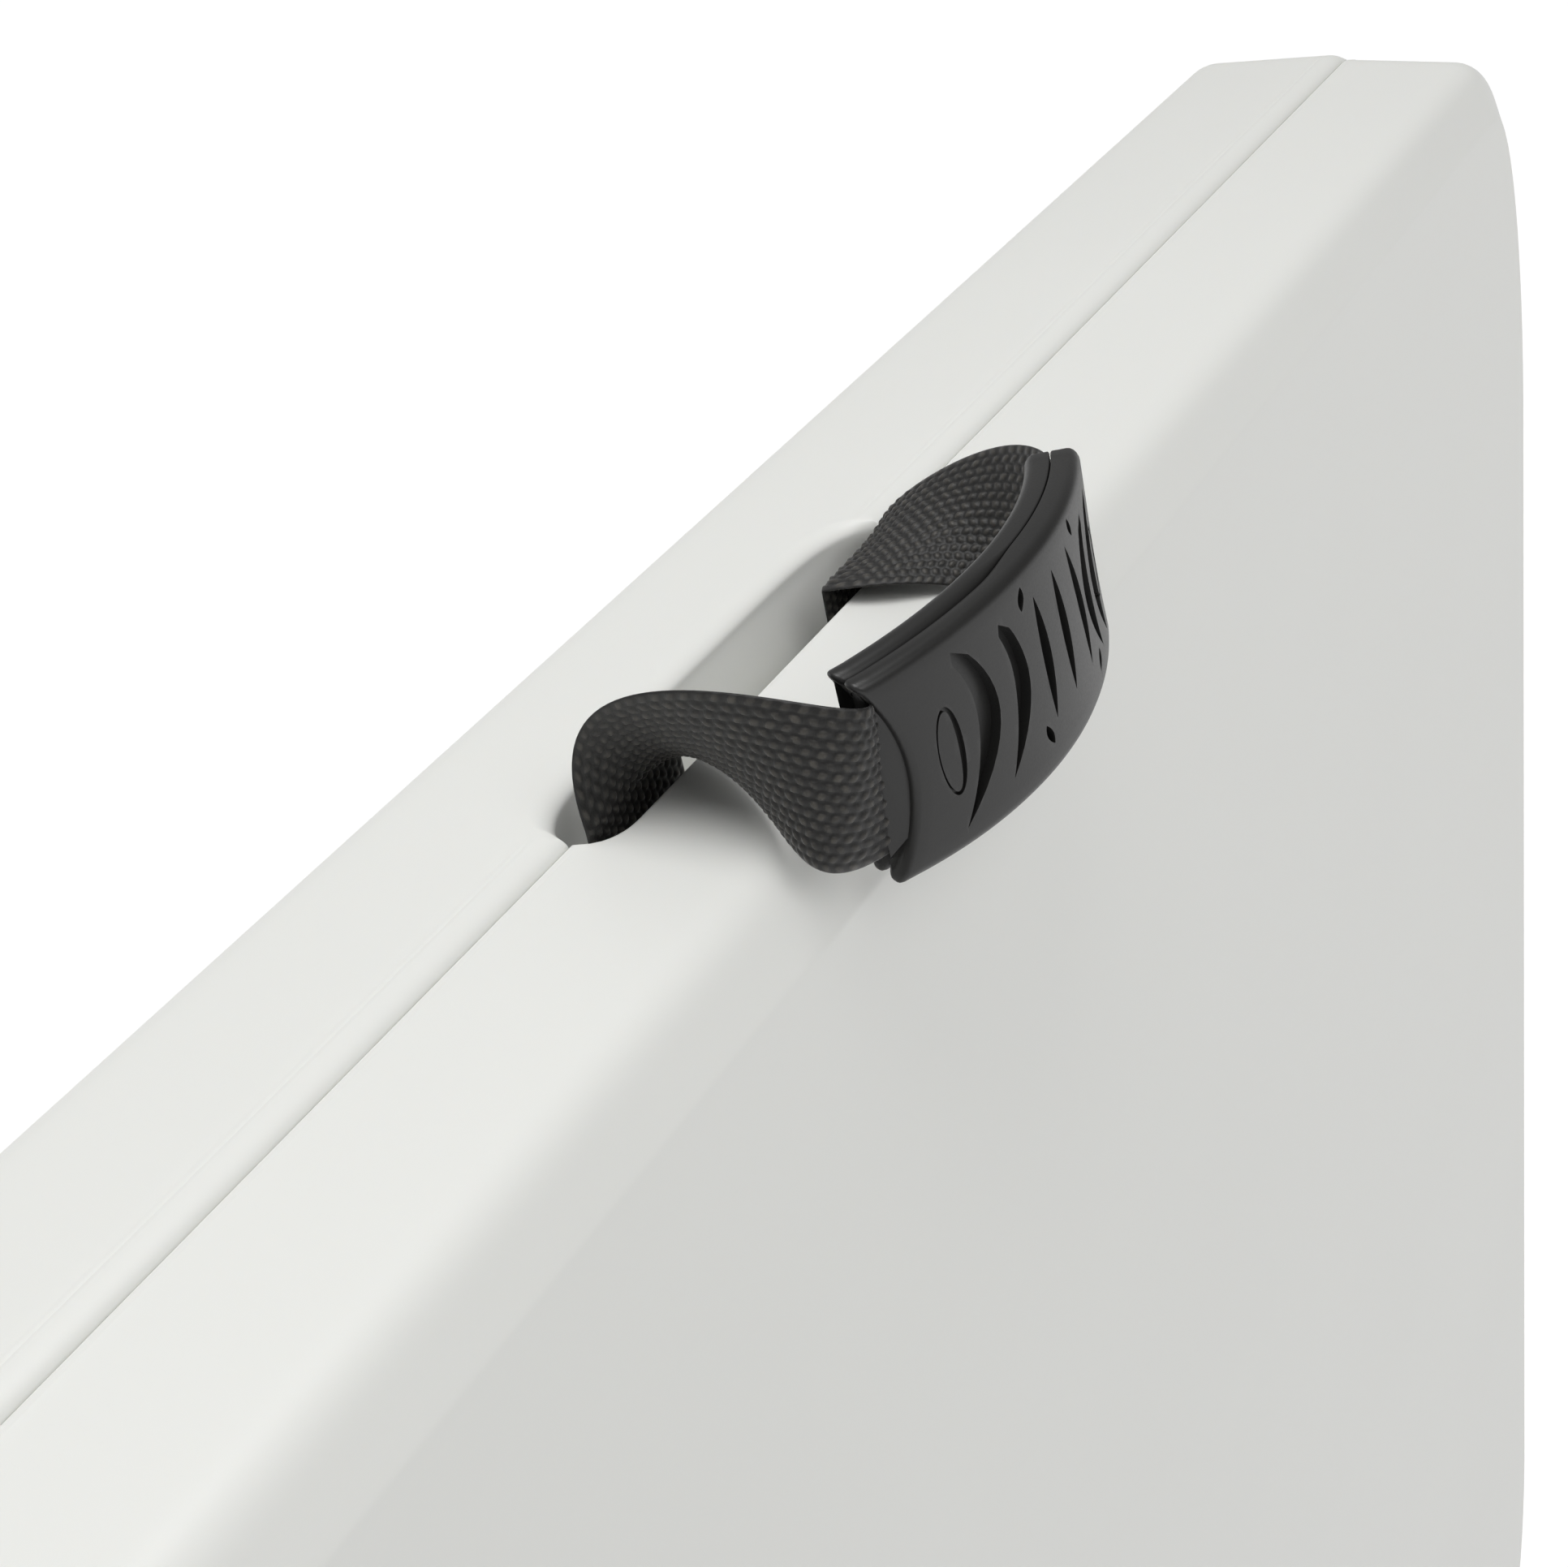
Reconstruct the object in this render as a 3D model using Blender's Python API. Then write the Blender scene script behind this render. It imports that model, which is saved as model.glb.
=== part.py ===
"""Fire blanket in a rigid two-shell carry case, with a webbing handle that lies in a finger recess.

The case stands on its long edge: X is its length, the front shell faces -Y, the rear shell faces +Y and
opens like a book on two hinges at the -X end. Two snap latches at the +X end hold it shut.
"""

import math

import bmesh
import bpy
from mathutils import Matrix, Vector

MM = 0.001
GAP = 0.3 * MM  # between pieces that touch

# Case
HALF_LENGTH = 350 * MM
CASE_TOP = 680 * MM
FOOT_HEIGHT = 12 * MM
CASE_MIDDLE = (CASE_TOP + FOOT_HEIGHT) / 2
HALF_HEIGHT = (CASE_TOP - FOOT_HEIGHT) / 2
CORNER_ACROSS = 42 * MM  # the case's corners are quarter ellipses
CORNER_UP = 112 * MM
FRONT_DEPTH = 40 * MM
REAR_DEPTH = 47 * MM
SEAM_Y = 6.7 * MM  # the parting plane, placed so that the box of the whole object is centred on the origin
WALL = 3 * MM
FLANGE = 9 * MM  # how far the rim's inner flange reaches in from the outline
BEVEL_INSET = 15.2 * MM  # the flat panel's outline, in from the parting line's
BEVEL_RUN = 6 * MM  # depth that the bevel band takes
FRONT_SLOPE = 0.035
REAR_SLOPE = 0.055
PROUD = 1.2 * MM  # how far the rear shell's rim stands out past the front shell's
BEAD = 4.5 * MM
SOFT_FILLET = 5 * MM
CORNER_STEPS = 8

# Recess for the fingers, at the middle of the top
RECESS_HALF = 50 * MM
RECESS_DROP = 31 * MM
NOTCH_HALF = 52 * MM
NOTCH_DEPTH = 7.0 * MM  # how far the front shell's edge is set forward
SCOOP_DEPTH = 14 * MM  # how far the scoop reaches into the rear shell

# Handle
WEBBING_WIDTH = 25 * MM
WEBBING_THICK = 1.6 * MM
STRAP_X = 37.5 * MM
STRAP_Y = SEAM_Y - 3.5 * MM
STRAP_PIN_Z = CASE_TOP - 15 * MM
STRAP_PIN_RADIUS = 1.6 * MM
SWING_Z = CASE_TOP + 4 * MM
RUN_STEPS = 14
GRIP_RADIUS = 82 * MM
GRIP_ARC = 81 * MM
GRIP_WIDTH = 35 * MM
GRIP_THICK = 9 * MM
GRIP_FACE = 2.4 * MM
GRIP_SPLIT = 4.6 * MM
GRIP_SIDE = 4.2 * MM
GRIP_MIDDLE = Vector((-0.8 * MM, SEAM_Y - 59.4 * MM, CASE_TOP + 10.8 * MM))
GRIP_TURN = Matrix.Rotation(math.radians(-3), 3, "X")

# Handles of the two edges of each webbing run, (at the foot, at the mouth) for the outer and inner edge, in mm
LEFT_RUN = (((6.9, 9, 36), (-10, -12, 0.4)), ((-0.4, -24, 3), (-27, 5, 5.6)))
RIGHT_RUN = (((-1.1, 5, 3), (27, 13, 0.8)), ((-1.2, -17.6, 4.5), (8, 21, 2)))

# Hinges and latches
HINGE_X = -HALF_LENGTH - 6 * MM
HINGE_LEVELS = {"upper": CASE_MIDDLE + 200 * MM, "lower": CASE_MIDDLE - 200 * MM}
HINGE_HALF = 32 * MM
KNUCKLE_RADIUS = 4.6 * MM
HINGE_PIN_RADIUS = 2 * MM
LEAF_THICK = 2 * MM
SCREW_DEPTH = 19 * MM
LATCH_LEVELS = {"upper": CASE_MIDDLE + 165 * MM, "lower": CASE_MIDDLE - 165 * MM}
LATCH_PIN = Vector((HALF_LENGTH + 5.6 * MM, SEAM_Y - 22 * MM, 0))
LATCH_HALF = 22 * MM

# Blanket
BLANKET_HALF_X = 316 * MM
BLANKET_Z = (47 * MM, 618 * MM)
BLANKET_Y = (SEAM_Y - 35.5 * MM, SEAM_Y + 23 * MM)
BAND_X = 190 * MM
BAND_HALF = 19 * MM
BAND_THICK = 1.8 * MM

WHITE = (0.80, 0.81, 0.78)
BLACK = (0.028, 0.027, 0.025)
STEEL = (0.55, 0.55, 0.56)
RUBBER = (0.03, 0.03, 0.03)
GLASS_CLOTH = (0.62, 0.60, 0.54)
RED = (0.45, 0.02, 0.02)


# --- scene, materials and small helpers ------------------------------------------------------------

def clear_scene():
    for obj in list(bpy.data.objects):
        bpy.data.objects.remove(obj)


def add_material(obj, colour, roughness, metallic=0.0):
    material = bpy.data.materials.new(obj.name)
    material.use_nodes = True
    shader = material.node_tree.nodes["Principled BSDF"]
    shader.inputs["Base Color"].default_value = (*colour, 1)
    shader.inputs["Roughness"].default_value = roughness
    shader.inputs["Metallic"].default_value = metallic
    obj.data.materials.append(material)


def finish(obj, look, parent=None):
    """Gives obj its material and smooth shading, and hangs it on its joint's empty."""
    colour, roughness, metallic = look
    add_material(obj, colour, roughness, metallic)
    obj.data.shade_smooth()
    obj.data.set_sharp_from_angle(angle=math.radians(35))
    if parent is not None:
        obj.parent = parent
        obj.matrix_parent_inverse = parent.matrix_world.inverted()
    return obj


def new_object(name, vertices, faces):
    mesh = bpy.data.meshes.new(name)
    mesh.from_pydata([tuple(v) for v in vertices], [], faces)
    edit = bmesh.new()
    edit.from_mesh(mesh)
    bmesh.ops.remove_doubles(edit, verts=edit.verts, dist=1e-7)
    bmesh.ops.recalc_face_normals(edit, faces=edit.faces)
    edit.to_mesh(mesh)
    edit.free()
    obj = bpy.data.objects.new(name, mesh)
    bpy.context.scene.collection.objects.link(obj)
    return obj


def loft(name, rings):
    """A closed solid through rings of equal length, with its first and last ring filled."""
    count = len(rings[0])
    vertices = [point for ring in rings for point in ring]
    faces = []
    for row in range(len(rings) - 1):
        for i in range(count):
            j = (i + 1) % count
            faces.append((row * count + i, row * count + j, (row + 1) * count + j, (row + 1) * count + i))
    faces.append(tuple(range(count)))
    faces.append(tuple((len(rings) - 1) * count + i for i in range(count)))
    return new_object(name, vertices, faces)


def box(name, low, high):
    xs, ys, zs = zip(low, high)
    rings = [[(xs[0], ys[0], z), (xs[1], ys[0], z), (xs[1], ys[1], z), (xs[0], ys[1], z)] for z in zs]
    return loft(name, rings)


def turned(name, profile, place, steps=20):
    """A solid of revolution: profile is (radius, distance along the axis), place puts +Z on the axis."""
    rings = []
    for radius, along in profile:
        ring = []
        for i in range(steps):
            angle = 2 * math.pi * i / steps
            ring.append(place @ Vector((radius * math.cos(angle), radius * math.sin(angle), along)))
        rings.append(ring)
    return loft(name, rings)


def along_axis(origin, axis):
    """A matrix whose +Z lies along axis and whose origin is origin."""
    turn = Vector(axis).to_track_quat("Z", "Y").to_matrix().to_4x4()
    return Matrix.Translation(Vector(origin)) @ turn


def apply_boolean(obj, other, operation):
    modifier = obj.modifiers.new(operation.title(), "BOOLEAN")
    modifier.object = other
    modifier.operation = operation
    modifier.solver = "EXACT"
    graph = bpy.context.evaluated_depsgraph_get()
    result = bpy.data.meshes.new_from_object(obj.evaluated_get(graph))
    obj.modifiers.remove(modifier)
    old = obj.data
    obj.data = result
    bpy.data.meshes.remove(old)
    bpy.data.objects.remove(other)
    return obj


def cut(obj, cutter):
    return apply_boolean(obj, cutter, "DIFFERENCE")


def join(obj, other):
    return apply_boolean(obj, other, "UNION")


def mirrored(points):
    return [Vector((-p.x, p.y, p.z)) for p in points]


# --- case outline and shells -----------------------------------------------------------------------

def wall_inset(side, depth):
    """How far the case's outer side lies in from the outline, at depth behind the parting plane."""
    if side < 0:
        return FRONT_SLOPE * depth
    return REAR_SLOPE * max(depth - BEAD, 0) - PROUD


def end_x(side, depth):
    """Half the case's length at depth on that side of the parting plane."""
    return HALF_LENGTH - wall_inset(side, depth)


def outline(y, inset):
    """The case's rounded rectangle in the plane y, moved in by inset."""
    radius_across = CORNER_ACROSS - inset
    radius_up = CORNER_UP - inset
    across = HALF_LENGTH - CORNER_ACROSS
    up = HALF_HEIGHT - CORNER_UP
    points = []
    for corner, (sx, sz) in enumerate(((1, 1), (-1, 1), (-1, -1), (1, -1))):
        for step in range(CORNER_STEPS + 1):
            angle = math.pi / 2 * (corner + step / CORNER_STEPS)
            x = sx * across + radius_across * math.cos(angle)
            z = CASE_MIDDLE + sz * up + radius_up * math.sin(angle)
            points.append(Vector((x, y, z)))
    return points


def fillet(before, corner, after, length, steps=4):
    """Points of a soft curve that leaves the lines before-corner-after at length from the corner."""
    corner = Vector(corner)
    start = corner + (Vector(before) - corner).normalized() * length
    end = corner + (Vector(after) - corner).normalized() * length
    points = []
    for step in range(steps + 1):
        t = step / steps
        points.append(start * (1 - t) ** 2 + corner * 2 * t * (1 - t) + end * t ** 2)
    return points


def front_profile():
    """(depth from the parting plane, inset) down the front shell's outer side, rim first."""
    crease = (FRONT_DEPTH, BEVEL_INSET)
    shoulder_depth = FRONT_DEPTH - BEVEL_RUN
    shoulder = (shoulder_depth, wall_inset(-1, shoulder_depth))
    rim = [(0.15 * MM, 0.8 * MM), (0.5 * MM, 0.2 * MM), (1.2 * MM, 0)]
    soft = [tuple(p) for p in fillet(rim[-1], shoulder, crease, SOFT_FILLET)]
    return rim + soft + [crease]


def rear_profile():
    """The same for the rear shell, whose rim is a rounded bead a little proud of the front shell."""
    crease = (REAR_DEPTH, BEVEL_INSET)
    shoulder_depth = REAR_DEPTH - BEVEL_RUN
    shoulder = (shoulder_depth, wall_inset(1, shoulder_depth))
    rim = []
    for step in range(5):
        angle = math.pi / 2 * step / 4
        rim.append((0.15 * MM + BEAD * (1 - math.cos(angle)), BEAD * (1 - math.sin(angle)) - PROUD))
    soft = [tuple(p) for p in fillet(rim[-1], shoulder, crease, SOFT_FILLET)]
    return rim + soft + [crease]


def shell(name, profile, side):
    """A tray with the given outer profile; side is -1 for the front shell and 1 for the rear."""
    depth, inset = profile[-1]
    rim_depth = profile[0][0]
    rings = [outline(SEAM_Y + side * d, i) for d, i in profile]
    inner = [
        (depth - WALL, BEVEL_INSET + 2 * WALL),
        (depth - BEVEL_RUN - WALL, 2.2 * WALL),
        (rim_depth + WALL, 1.9 * WALL),
        (rim_depth + WALL, FLANGE),
        (rim_depth, FLANGE),
    ]
    inner_rings = [outline(SEAM_Y + side * d, i) for d, i in inner]
    count = len(rings[0])
    vertices = [p for ring in rings + inner_rings for p in ring]
    rows = len(rings) + len(inner_rings)
    faces = []
    for row in range(rows):
        if row == len(rings) - 1:
            continue  # the panel's inside and outside aren't joined at their edges
        following = (row + 1) % rows
        for i in range(count):
            j = (i + 1) % count
            faces.append((row * count + i, row * count + j, following * count + j, following * count + i))
    faces.append(tuple((len(rings) - 1) * count + i for i in range(count)))
    faces.append(tuple(len(rings) * count + i for i in range(count)))
    return new_object(name, vertices, faces)


def scoop(name, grow, above, back_to):
    """The finger scoop's volume, grown by grow all round; it opens forwards at back_to and upwards."""
    floor = RECESS_DROP + grow
    levels = ((above, 0.0), (-0.62 * floor, 1.6 * MM), (-0.86 * floor, 4.5 * MM), (-floor, 9.0 * MM))
    rings = []
    for height, pull in levels:
        z = CASE_TOP + height
        half = RECESS_HALF - 3 * MM + grow - 0.6 * pull
        reach = SCOOP_DEPTH + grow - pull
        ring = [Vector((half, back_to, z)), Vector((-half, back_to, z))]
        corner = min(reach, 12 * MM)
        for sign in (-1, 1):
            for step in range(5):
                angle = math.pi / 2 * step / 4
                if sign < 0:
                    x = -(half - corner) - corner * math.cos(angle)
                    y = SEAM_Y + reach - corner + corner * math.sin(angle)
                else:
                    x = (half - corner) + corner * math.sin(angle)
                    y = SEAM_Y + reach - corner + corner * math.cos(angle)
                ring.append(Vector((x, y, z)))
        rings.append(ring)
    return loft(name, rings)


def make_front_shell():
    obj = shell("front_shell", front_profile(), -1)
    half = NOTCH_HALF + 6 * MM
    low = CASE_TOP - RECESS_DROP - WALL
    pocket = box(
        "pocket",
        (-half, SEAM_Y - NOTCH_DEPTH - WALL, low),
        (half, SEAM_Y - 0.15 * MM, CASE_TOP - 1.5 * MM),
    )
    obj = join(obj, pocket)
    rings = []
    for z in (CASE_TOP - RECESS_DROP, CASE_TOP + 5 * MM):
        left = [
            Vector((-NOTCH_HALF - 3 * MM, SEAM_Y + 1 * MM, z)),
            Vector((-NOTCH_HALF, SEAM_Y - 1.6 * MM, z)),
            Vector((-NOTCH_HALF + 0.4 * MM, SEAM_Y - NOTCH_DEPTH + 1.2 * MM, z)),
            Vector((-NOTCH_HALF + 1.4 * MM, SEAM_Y - NOTCH_DEPTH, z)),
        ]
        rings.append(left + mirrored(left)[::-1])
    obj = cut(obj, loft("notch", rings))
    for side in (-1, 1):
        x = side * STRAP_X
        half_slot = WEBBING_WIDTH / 2 + 1 * MM
        for edge in (-1, 1):
            middle = x + edge * (half_slot + 1.5 * MM)
            lug = box(
                "lug",
                (middle - 1.4 * MM, SEAM_Y - NOTCH_DEPTH - 1 * MM, STRAP_PIN_Z - 5 * MM),
                (middle + 1.4 * MM, SEAM_Y - 0.15 * MM, STRAP_PIN_Z + 5 * MM),
            )
            obj = join(obj, lug)
        reach = half_slot + 3.4 * MM
        bore = turned(
            "bore",
            ((STRAP_PIN_RADIUS + GAP / 2, -reach - GAP), (STRAP_PIN_RADIUS + GAP / 2, reach + GAP)),
            along_axis((x, STRAP_Y, STRAP_PIN_Z), (1, 0, 0)),
            16,
        )
        obj = cut(obj, bore)
    return finish(obj, (WHITE, 0.42, 0))


def make_rear_shell(parent):
    obj = shell("rear_shell", rear_profile(), 1)
    wall = scoop("scoop_wall", WALL, -2.5 * MM, SEAM_Y + 0.15 * MM)
    obj = join(obj, wall)
    obj = cut(obj, scoop("scoop_space", 0, 6 * MM, SEAM_Y - 5 * MM))
    groove = ring_strip("groove", 4.4 * MM, 8.2 * MM, SEAM_Y - 1 * MM, SEAM_Y + 1.9 * MM)
    return finish(cut(obj, groove), (WHITE, 0.42, 0), parent)


def ring_strip(name, near, far, y_low, y_high, clear=None):
    """A flat strip that follows the outline between two insets; it is left open at the recess."""
    clear = RECESS_HALF + 12 * MM if clear is None else clear
    rings = []
    outer = open_outline(0, near, clear)
    inner = open_outline(0, far, clear)
    for a, b in zip(outer, inner):
        ring = [(a.x, y_low, a.z), (a.x, y_high, a.z), (b.x, y_high, b.z), (b.x, y_low, b.z)]
        rings.append(ring)
    return loft(name, rings)


def open_outline(y, inset, clear):
    """The outline from one side of the recess round to the other."""
    points = outline(y, inset)
    split = CORNER_STEPS + 1
    path = [Vector((-clear, y, points[split].z))] + points[split:] + points[:split]
    return path + [Vector((clear, y, points[split - 1].z))]


def make_seal(parent):
    obj = ring_strip(
        "rim_seal", 4.8 * MM, 7.8 * MM, SEAM_Y + GAP / 2, SEAM_Y + 1.6 * MM, RECESS_HALF + 13 * MM
    )
    return finish(obj, (RUBBER, 0.7, 0), parent)


def make_foot(name, x, depth, parent=None):
    """A push-in rubber foot. Its top follows the shell's underside with a small gap."""
    side = math.copysign(1, depth)
    profile = ((9.5 * MM, 0), (11.5 * MM, 1.5 * MM), (12 * MM, 5 * MM), (12 * MM, None))
    rings = []
    for radius, height in profile:
        ring = []
        for step in range(24):
            angle = 2 * math.pi * step / 24
            across = radius * math.sin(angle)
            top = FOOT_HEIGHT + wall_inset(side, side * (depth + across)) - GAP
            z = top if height is None else height
            ring.append(Vector((x + radius * math.cos(angle), SEAM_Y + depth + across, z)))
        rings.append(ring)
    return finish(loft(name, rings), (RUBBER, 0.75, 0), parent)


# --- hinges ----------------------------------------------------------------------------------------

def knuckle(name, low, high):
    place = Matrix.Translation((HINGE_X, SEAM_Y, 0))
    return turned(name, ((KNUCKLE_RADIUS, low), (KNUCKLE_RADIUS, high)), place, 20)


def screw_x(side):
    return -end_x(side, SCREW_DEPTH) - GAP


def make_leaf(name, level, side, parent=None):
    """A hinge leaf; the front leaf carries the outer two knuckles and the rear leaf the middle one."""
    third = 2 * HINGE_HALF / 3
    near, far = 7 * MM, 27 * MM
    near_x = -end_x(side, near) - GAP
    far_x = -end_x(side, far) - GAP
    obj = plate(
        name,
        (
            (near_x, SEAM_Y + side * near),
            (far_x, SEAM_Y + side * far),
            (far_x - LEAF_THICK, SEAM_Y + side * far),
            (near_x - LEAF_THICK, SEAM_Y + side * near),
        ),
        level - HINGE_HALF,
        level + HINGE_HALF,
    )
    if side < 0:
        stretches = ((level - HINGE_HALF, level - third / 2 - GAP), (level + third / 2 + GAP, level + HINGE_HALF))
    else:
        stretches = ((level - third / 2 + GAP, level + third / 2 - GAP),)
    for bottom, top in stretches:
        arm = box(
            "arm",
            (near_x - 2.7 * MM, min(SEAM_Y, SEAM_Y + side * (near + 0.5 * MM)), bottom),
            (near_x - 0.5 * MM, max(SEAM_Y, SEAM_Y + side * (near + 0.5 * MM)), top),
        )
        obj = join(obj, arm)
        obj = join(obj, knuckle("knuckle", bottom, top))
        bore = turned(
            "bore",
            ((HINGE_PIN_RADIUS + GAP / 3, bottom - GAP), (HINGE_PIN_RADIUS + GAP / 3, top + GAP)),
            Matrix.Translation((HINGE_X, SEAM_Y, 0)),
            20,
        )
        obj = cut(obj, bore)
    for end in (-1, 1):
        hole = turned(
            "hole",
            ((2.2 * MM, -1 * MM), (2.2 * MM, 5 * MM)),
            along_axis((screw_x(side) + 1 * MM, SEAM_Y + side * SCREW_DEPTH, level + end * 22 * MM), (-1, 0, 0)),
            16,
        )
        obj = cut(obj, hole)
    return finish(obj, (STEEL, 0.35, 1), parent)


def make_hinge_pin(name, level):
    ends = HINGE_HALF + 1 * MM
    profile = (
        (HINGE_PIN_RADIUS - 0.5 * MM, level - ends),
        (HINGE_PIN_RADIUS, level - ends + 0.6 * MM),
        (HINGE_PIN_RADIUS, level + HINGE_HALF + GAP),
        (3.2 * MM, level + HINGE_HALF + GAP),
        (3.2 * MM, level + ends + 0.6 * MM),
        (2.2 * MM, level + ends + 1.2 * MM),
    )
    obj = turned(name, profile, Matrix.Translation((HINGE_X, SEAM_Y, 0)), 20)
    return finish(obj, (STEEL, 0.3, 1))


def make_hinge_screw(name, level, side, parent=None):
    """A pan head screw that stands on the leaf; its shank ends just above the shell."""
    seat = LEAF_THICK + 2 * GAP
    profile = (
        (1.9 * MM, 0.2 * MM),
        (1.9 * MM, seat),
        (3.6 * MM, seat),
        (3.4 * MM, seat + 0.9 * MM),
        (2.2 * MM, seat + 1.5 * MM),
    )
    obj = turned(name, profile, along_axis((screw_x(side), SEAM_Y + side * SCREW_DEPTH, level), (-1, 0, 0)), 16)
    return finish(obj, (STEEL, 0.3, 1), parent)


def make_hinges(cover):
    for place, level in HINGE_LEVELS.items():
        make_leaf(f"hinge_leaf_front_{place}", level, -1)
        make_leaf(f"hinge_leaf_rear_{place}", level, 1, cover)
        make_hinge_pin(f"hinge_pin_{place}", level)
        for end, word in ((-1, "low"), (1, "high")):
            screw_level = level + end * 22 * MM
            make_hinge_screw(f"hinge_screw_front_{place}_{word}", screw_level, -1)
            make_hinge_screw(f"hinge_screw_rear_{place}_{word}", screw_level, 1, cover)


# --- latches ---------------------------------------------------------------------------------------

def plate(name, outline_xy, low, high):
    """A flat outline in X and Y, extruded between two heights."""
    return loft(name, [[Vector((x, y, z)) for x, y in outline_xy] for z in (low, high)])


def make_latch_base(name, level):
    """The hinge block on the front shell: a foot plate with an ear at each end of the lever's barrel."""
    face = HALF_LENGTH + GAP
    y = LATCH_PIN.y
    depth = SEAM_Y - y
    near_x = end_x(-1, depth - 5 * MM) + GAP
    far_x = end_x(-1, depth + 7 * MM) + GAP
    foot = ((near_x, y + 5 * MM), (far_x, y - 7 * MM), (face + 1.6 * MM, y - 7 * MM), (face + 1.6 * MM, y + 5 * MM))
    obj = plate(name, foot, level - LATCH_HALF, level + LATCH_HALF)
    for end in (-1, 1):
        inner, outer = level + end * (LATCH_HALF - 4 * MM), level + end * LATCH_HALF
        ear = box(
            "ear",
            (face + 0.5 * MM, y - 4 * MM, min(inner, outer)),
            (LATCH_PIN.x + 3.6 * MM, y + 4 * MM, max(inner, outer)),
        )
        obj = join(obj, ear)
    bore = turned(
        "bore",
        ((1.5 * MM + GAP / 3, level - LATCH_HALF - 1 * MM), (1.5 * MM + GAP / 3, level + LATCH_HALF + 1 * MM)),
        Matrix.Translation((LATCH_PIN.x, y, 0)),
        16,
    )
    return finish(cut(obj, bore), (BLACK, 0.45, 0))


def make_latch_pin(name, level):
    ends = LATCH_HALF - 0.4 * MM
    obj = turned(
        name,
        ((1.2 * MM, level - ends), (1.5 * MM, level - ends + 0.4 * MM), (1.5 * MM, level + ends)),
        Matrix.Translation((LATCH_PIN.x, LATCH_PIN.y, 0)),
        16,
    )
    return finish(obj, (STEEL, 0.3, 1))


def make_latch_lever(name, level, parent):
    """The snap lever: a barrel on the pin, a plate across the seam, a hook lip and a finger tab."""
    x, y = LATCH_PIN.x, LATCH_PIN.y
    half = LATCH_HALF - 4 * MM - GAP
    low, high = level - half, level + half
    hook_y = SEAM_Y + 12.6 * MM
    lever = plate(
        name,
        (
            (x + 0.4 * MM, y - 1 * MM),
            (x + 3.4 * MM, y - 1 * MM),
            (x + 4.4 * MM, hook_y - 6 * MM),
            (x + 4.8 * MM, hook_y + 4 * MM),
            (x + 5.4 * MM, hook_y + 12 * MM),
            (x + 3.4 * MM, hook_y + 12 * MM),
            (x + 2.0 * MM, hook_y + 4 * MM),
            (x - 2.4 * MM, hook_y + 3 * MM),
            (x - 2.4 * MM, hook_y),
            (x + 1.4 * MM, hook_y),
            (x + 1.0 * MM, hook_y - 6 * MM),
        ),
        low,
        high,
    )
    barrel = turned("barrel", ((3.4 * MM, low), (3.4 * MM, high)), Matrix.Translation((x, y, 0)), 20)
    lever = join(lever, barrel)
    bore = turned(
        "bore",
        ((1.5 * MM + GAP / 3, low - 1 * MM), (1.5 * MM + GAP / 3, high + 1 * MM)),
        Matrix.Translation((x, y, 0)),
        16,
    )
    return finish(cut(lever, bore), (BLACK, 0.45, 0), parent)


def make_keeper(name, level, parent):
    """The ridge that the hook snaps over, on the rear shell."""
    face = HALF_LENGTH + 1.5 * MM
    y = SEAM_Y + 11.8 * MM
    obj = plate(
        name,
        (
            (end_x(1, 17.8 * MM) + GAP, y + 6 * MM),
            (end_x(1, 5.8 * MM) + GAP, y - 6 * MM),
            (face + 1.2 * MM, y - 6 * MM),
            (face + 4.2 * MM, y - 2.4 * MM),
            (face + 4.2 * MM, y),
            (face + 1.2 * MM, y),
            (face + 1.2 * MM, y + 6 * MM),
        ),
        level - LATCH_HALF + 5 * MM,
        level + LATCH_HALF - 5 * MM,
    )
    return finish(obj, (BLACK, 0.45, 0), parent)


# --- carry handle ----------------------------------------------------------------------------------

def bezier(a, b, c, d, t):
    u = 1 - t
    return a * u ** 3 + b * 3 * t * u ** 2 + c * 3 * t ** 2 * u + d * t ** 3


def ribbon(name, path, widths, width, thick):
    """A flat strap along path; widths gives the direction across it at each point."""
    rings = []
    for i, point in enumerate(path):
        ahead = path[min(i + 1, len(path) - 1)] - path[max(i - 1, 0)]
        across = widths[i] - ahead * (widths[i].dot(ahead) / ahead.length_squared)
        across = across.normalized() * width / 2
        out = ahead.cross(across).normalized() * thick / 2
        rings.append([point + across + out, point - across + out, point - across - out, point + across - out])
    return loft(name, rings)


def grip_point(arc, across, depth):
    """A point of the grip: arc along its curved face, across it (up), and depth in from that face."""
    angle = arc / GRIP_RADIUS
    reach = GRIP_RADIUS - depth
    place = Vector((reach * math.sin(angle), GRIP_RADIUS - reach * math.cos(angle), across))
    return GRIP_MIDDLE + GRIP_TURN @ place


def grip_sweep(name, section, half_arc, steps=14):
    rings = []
    for step in range(steps + 1):
        arc = half_arc * (2 * step / steps - 1)
        rings.append([grip_point(arc, across, depth) for across, depth in section])
    return loft(name, rings)


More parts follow.
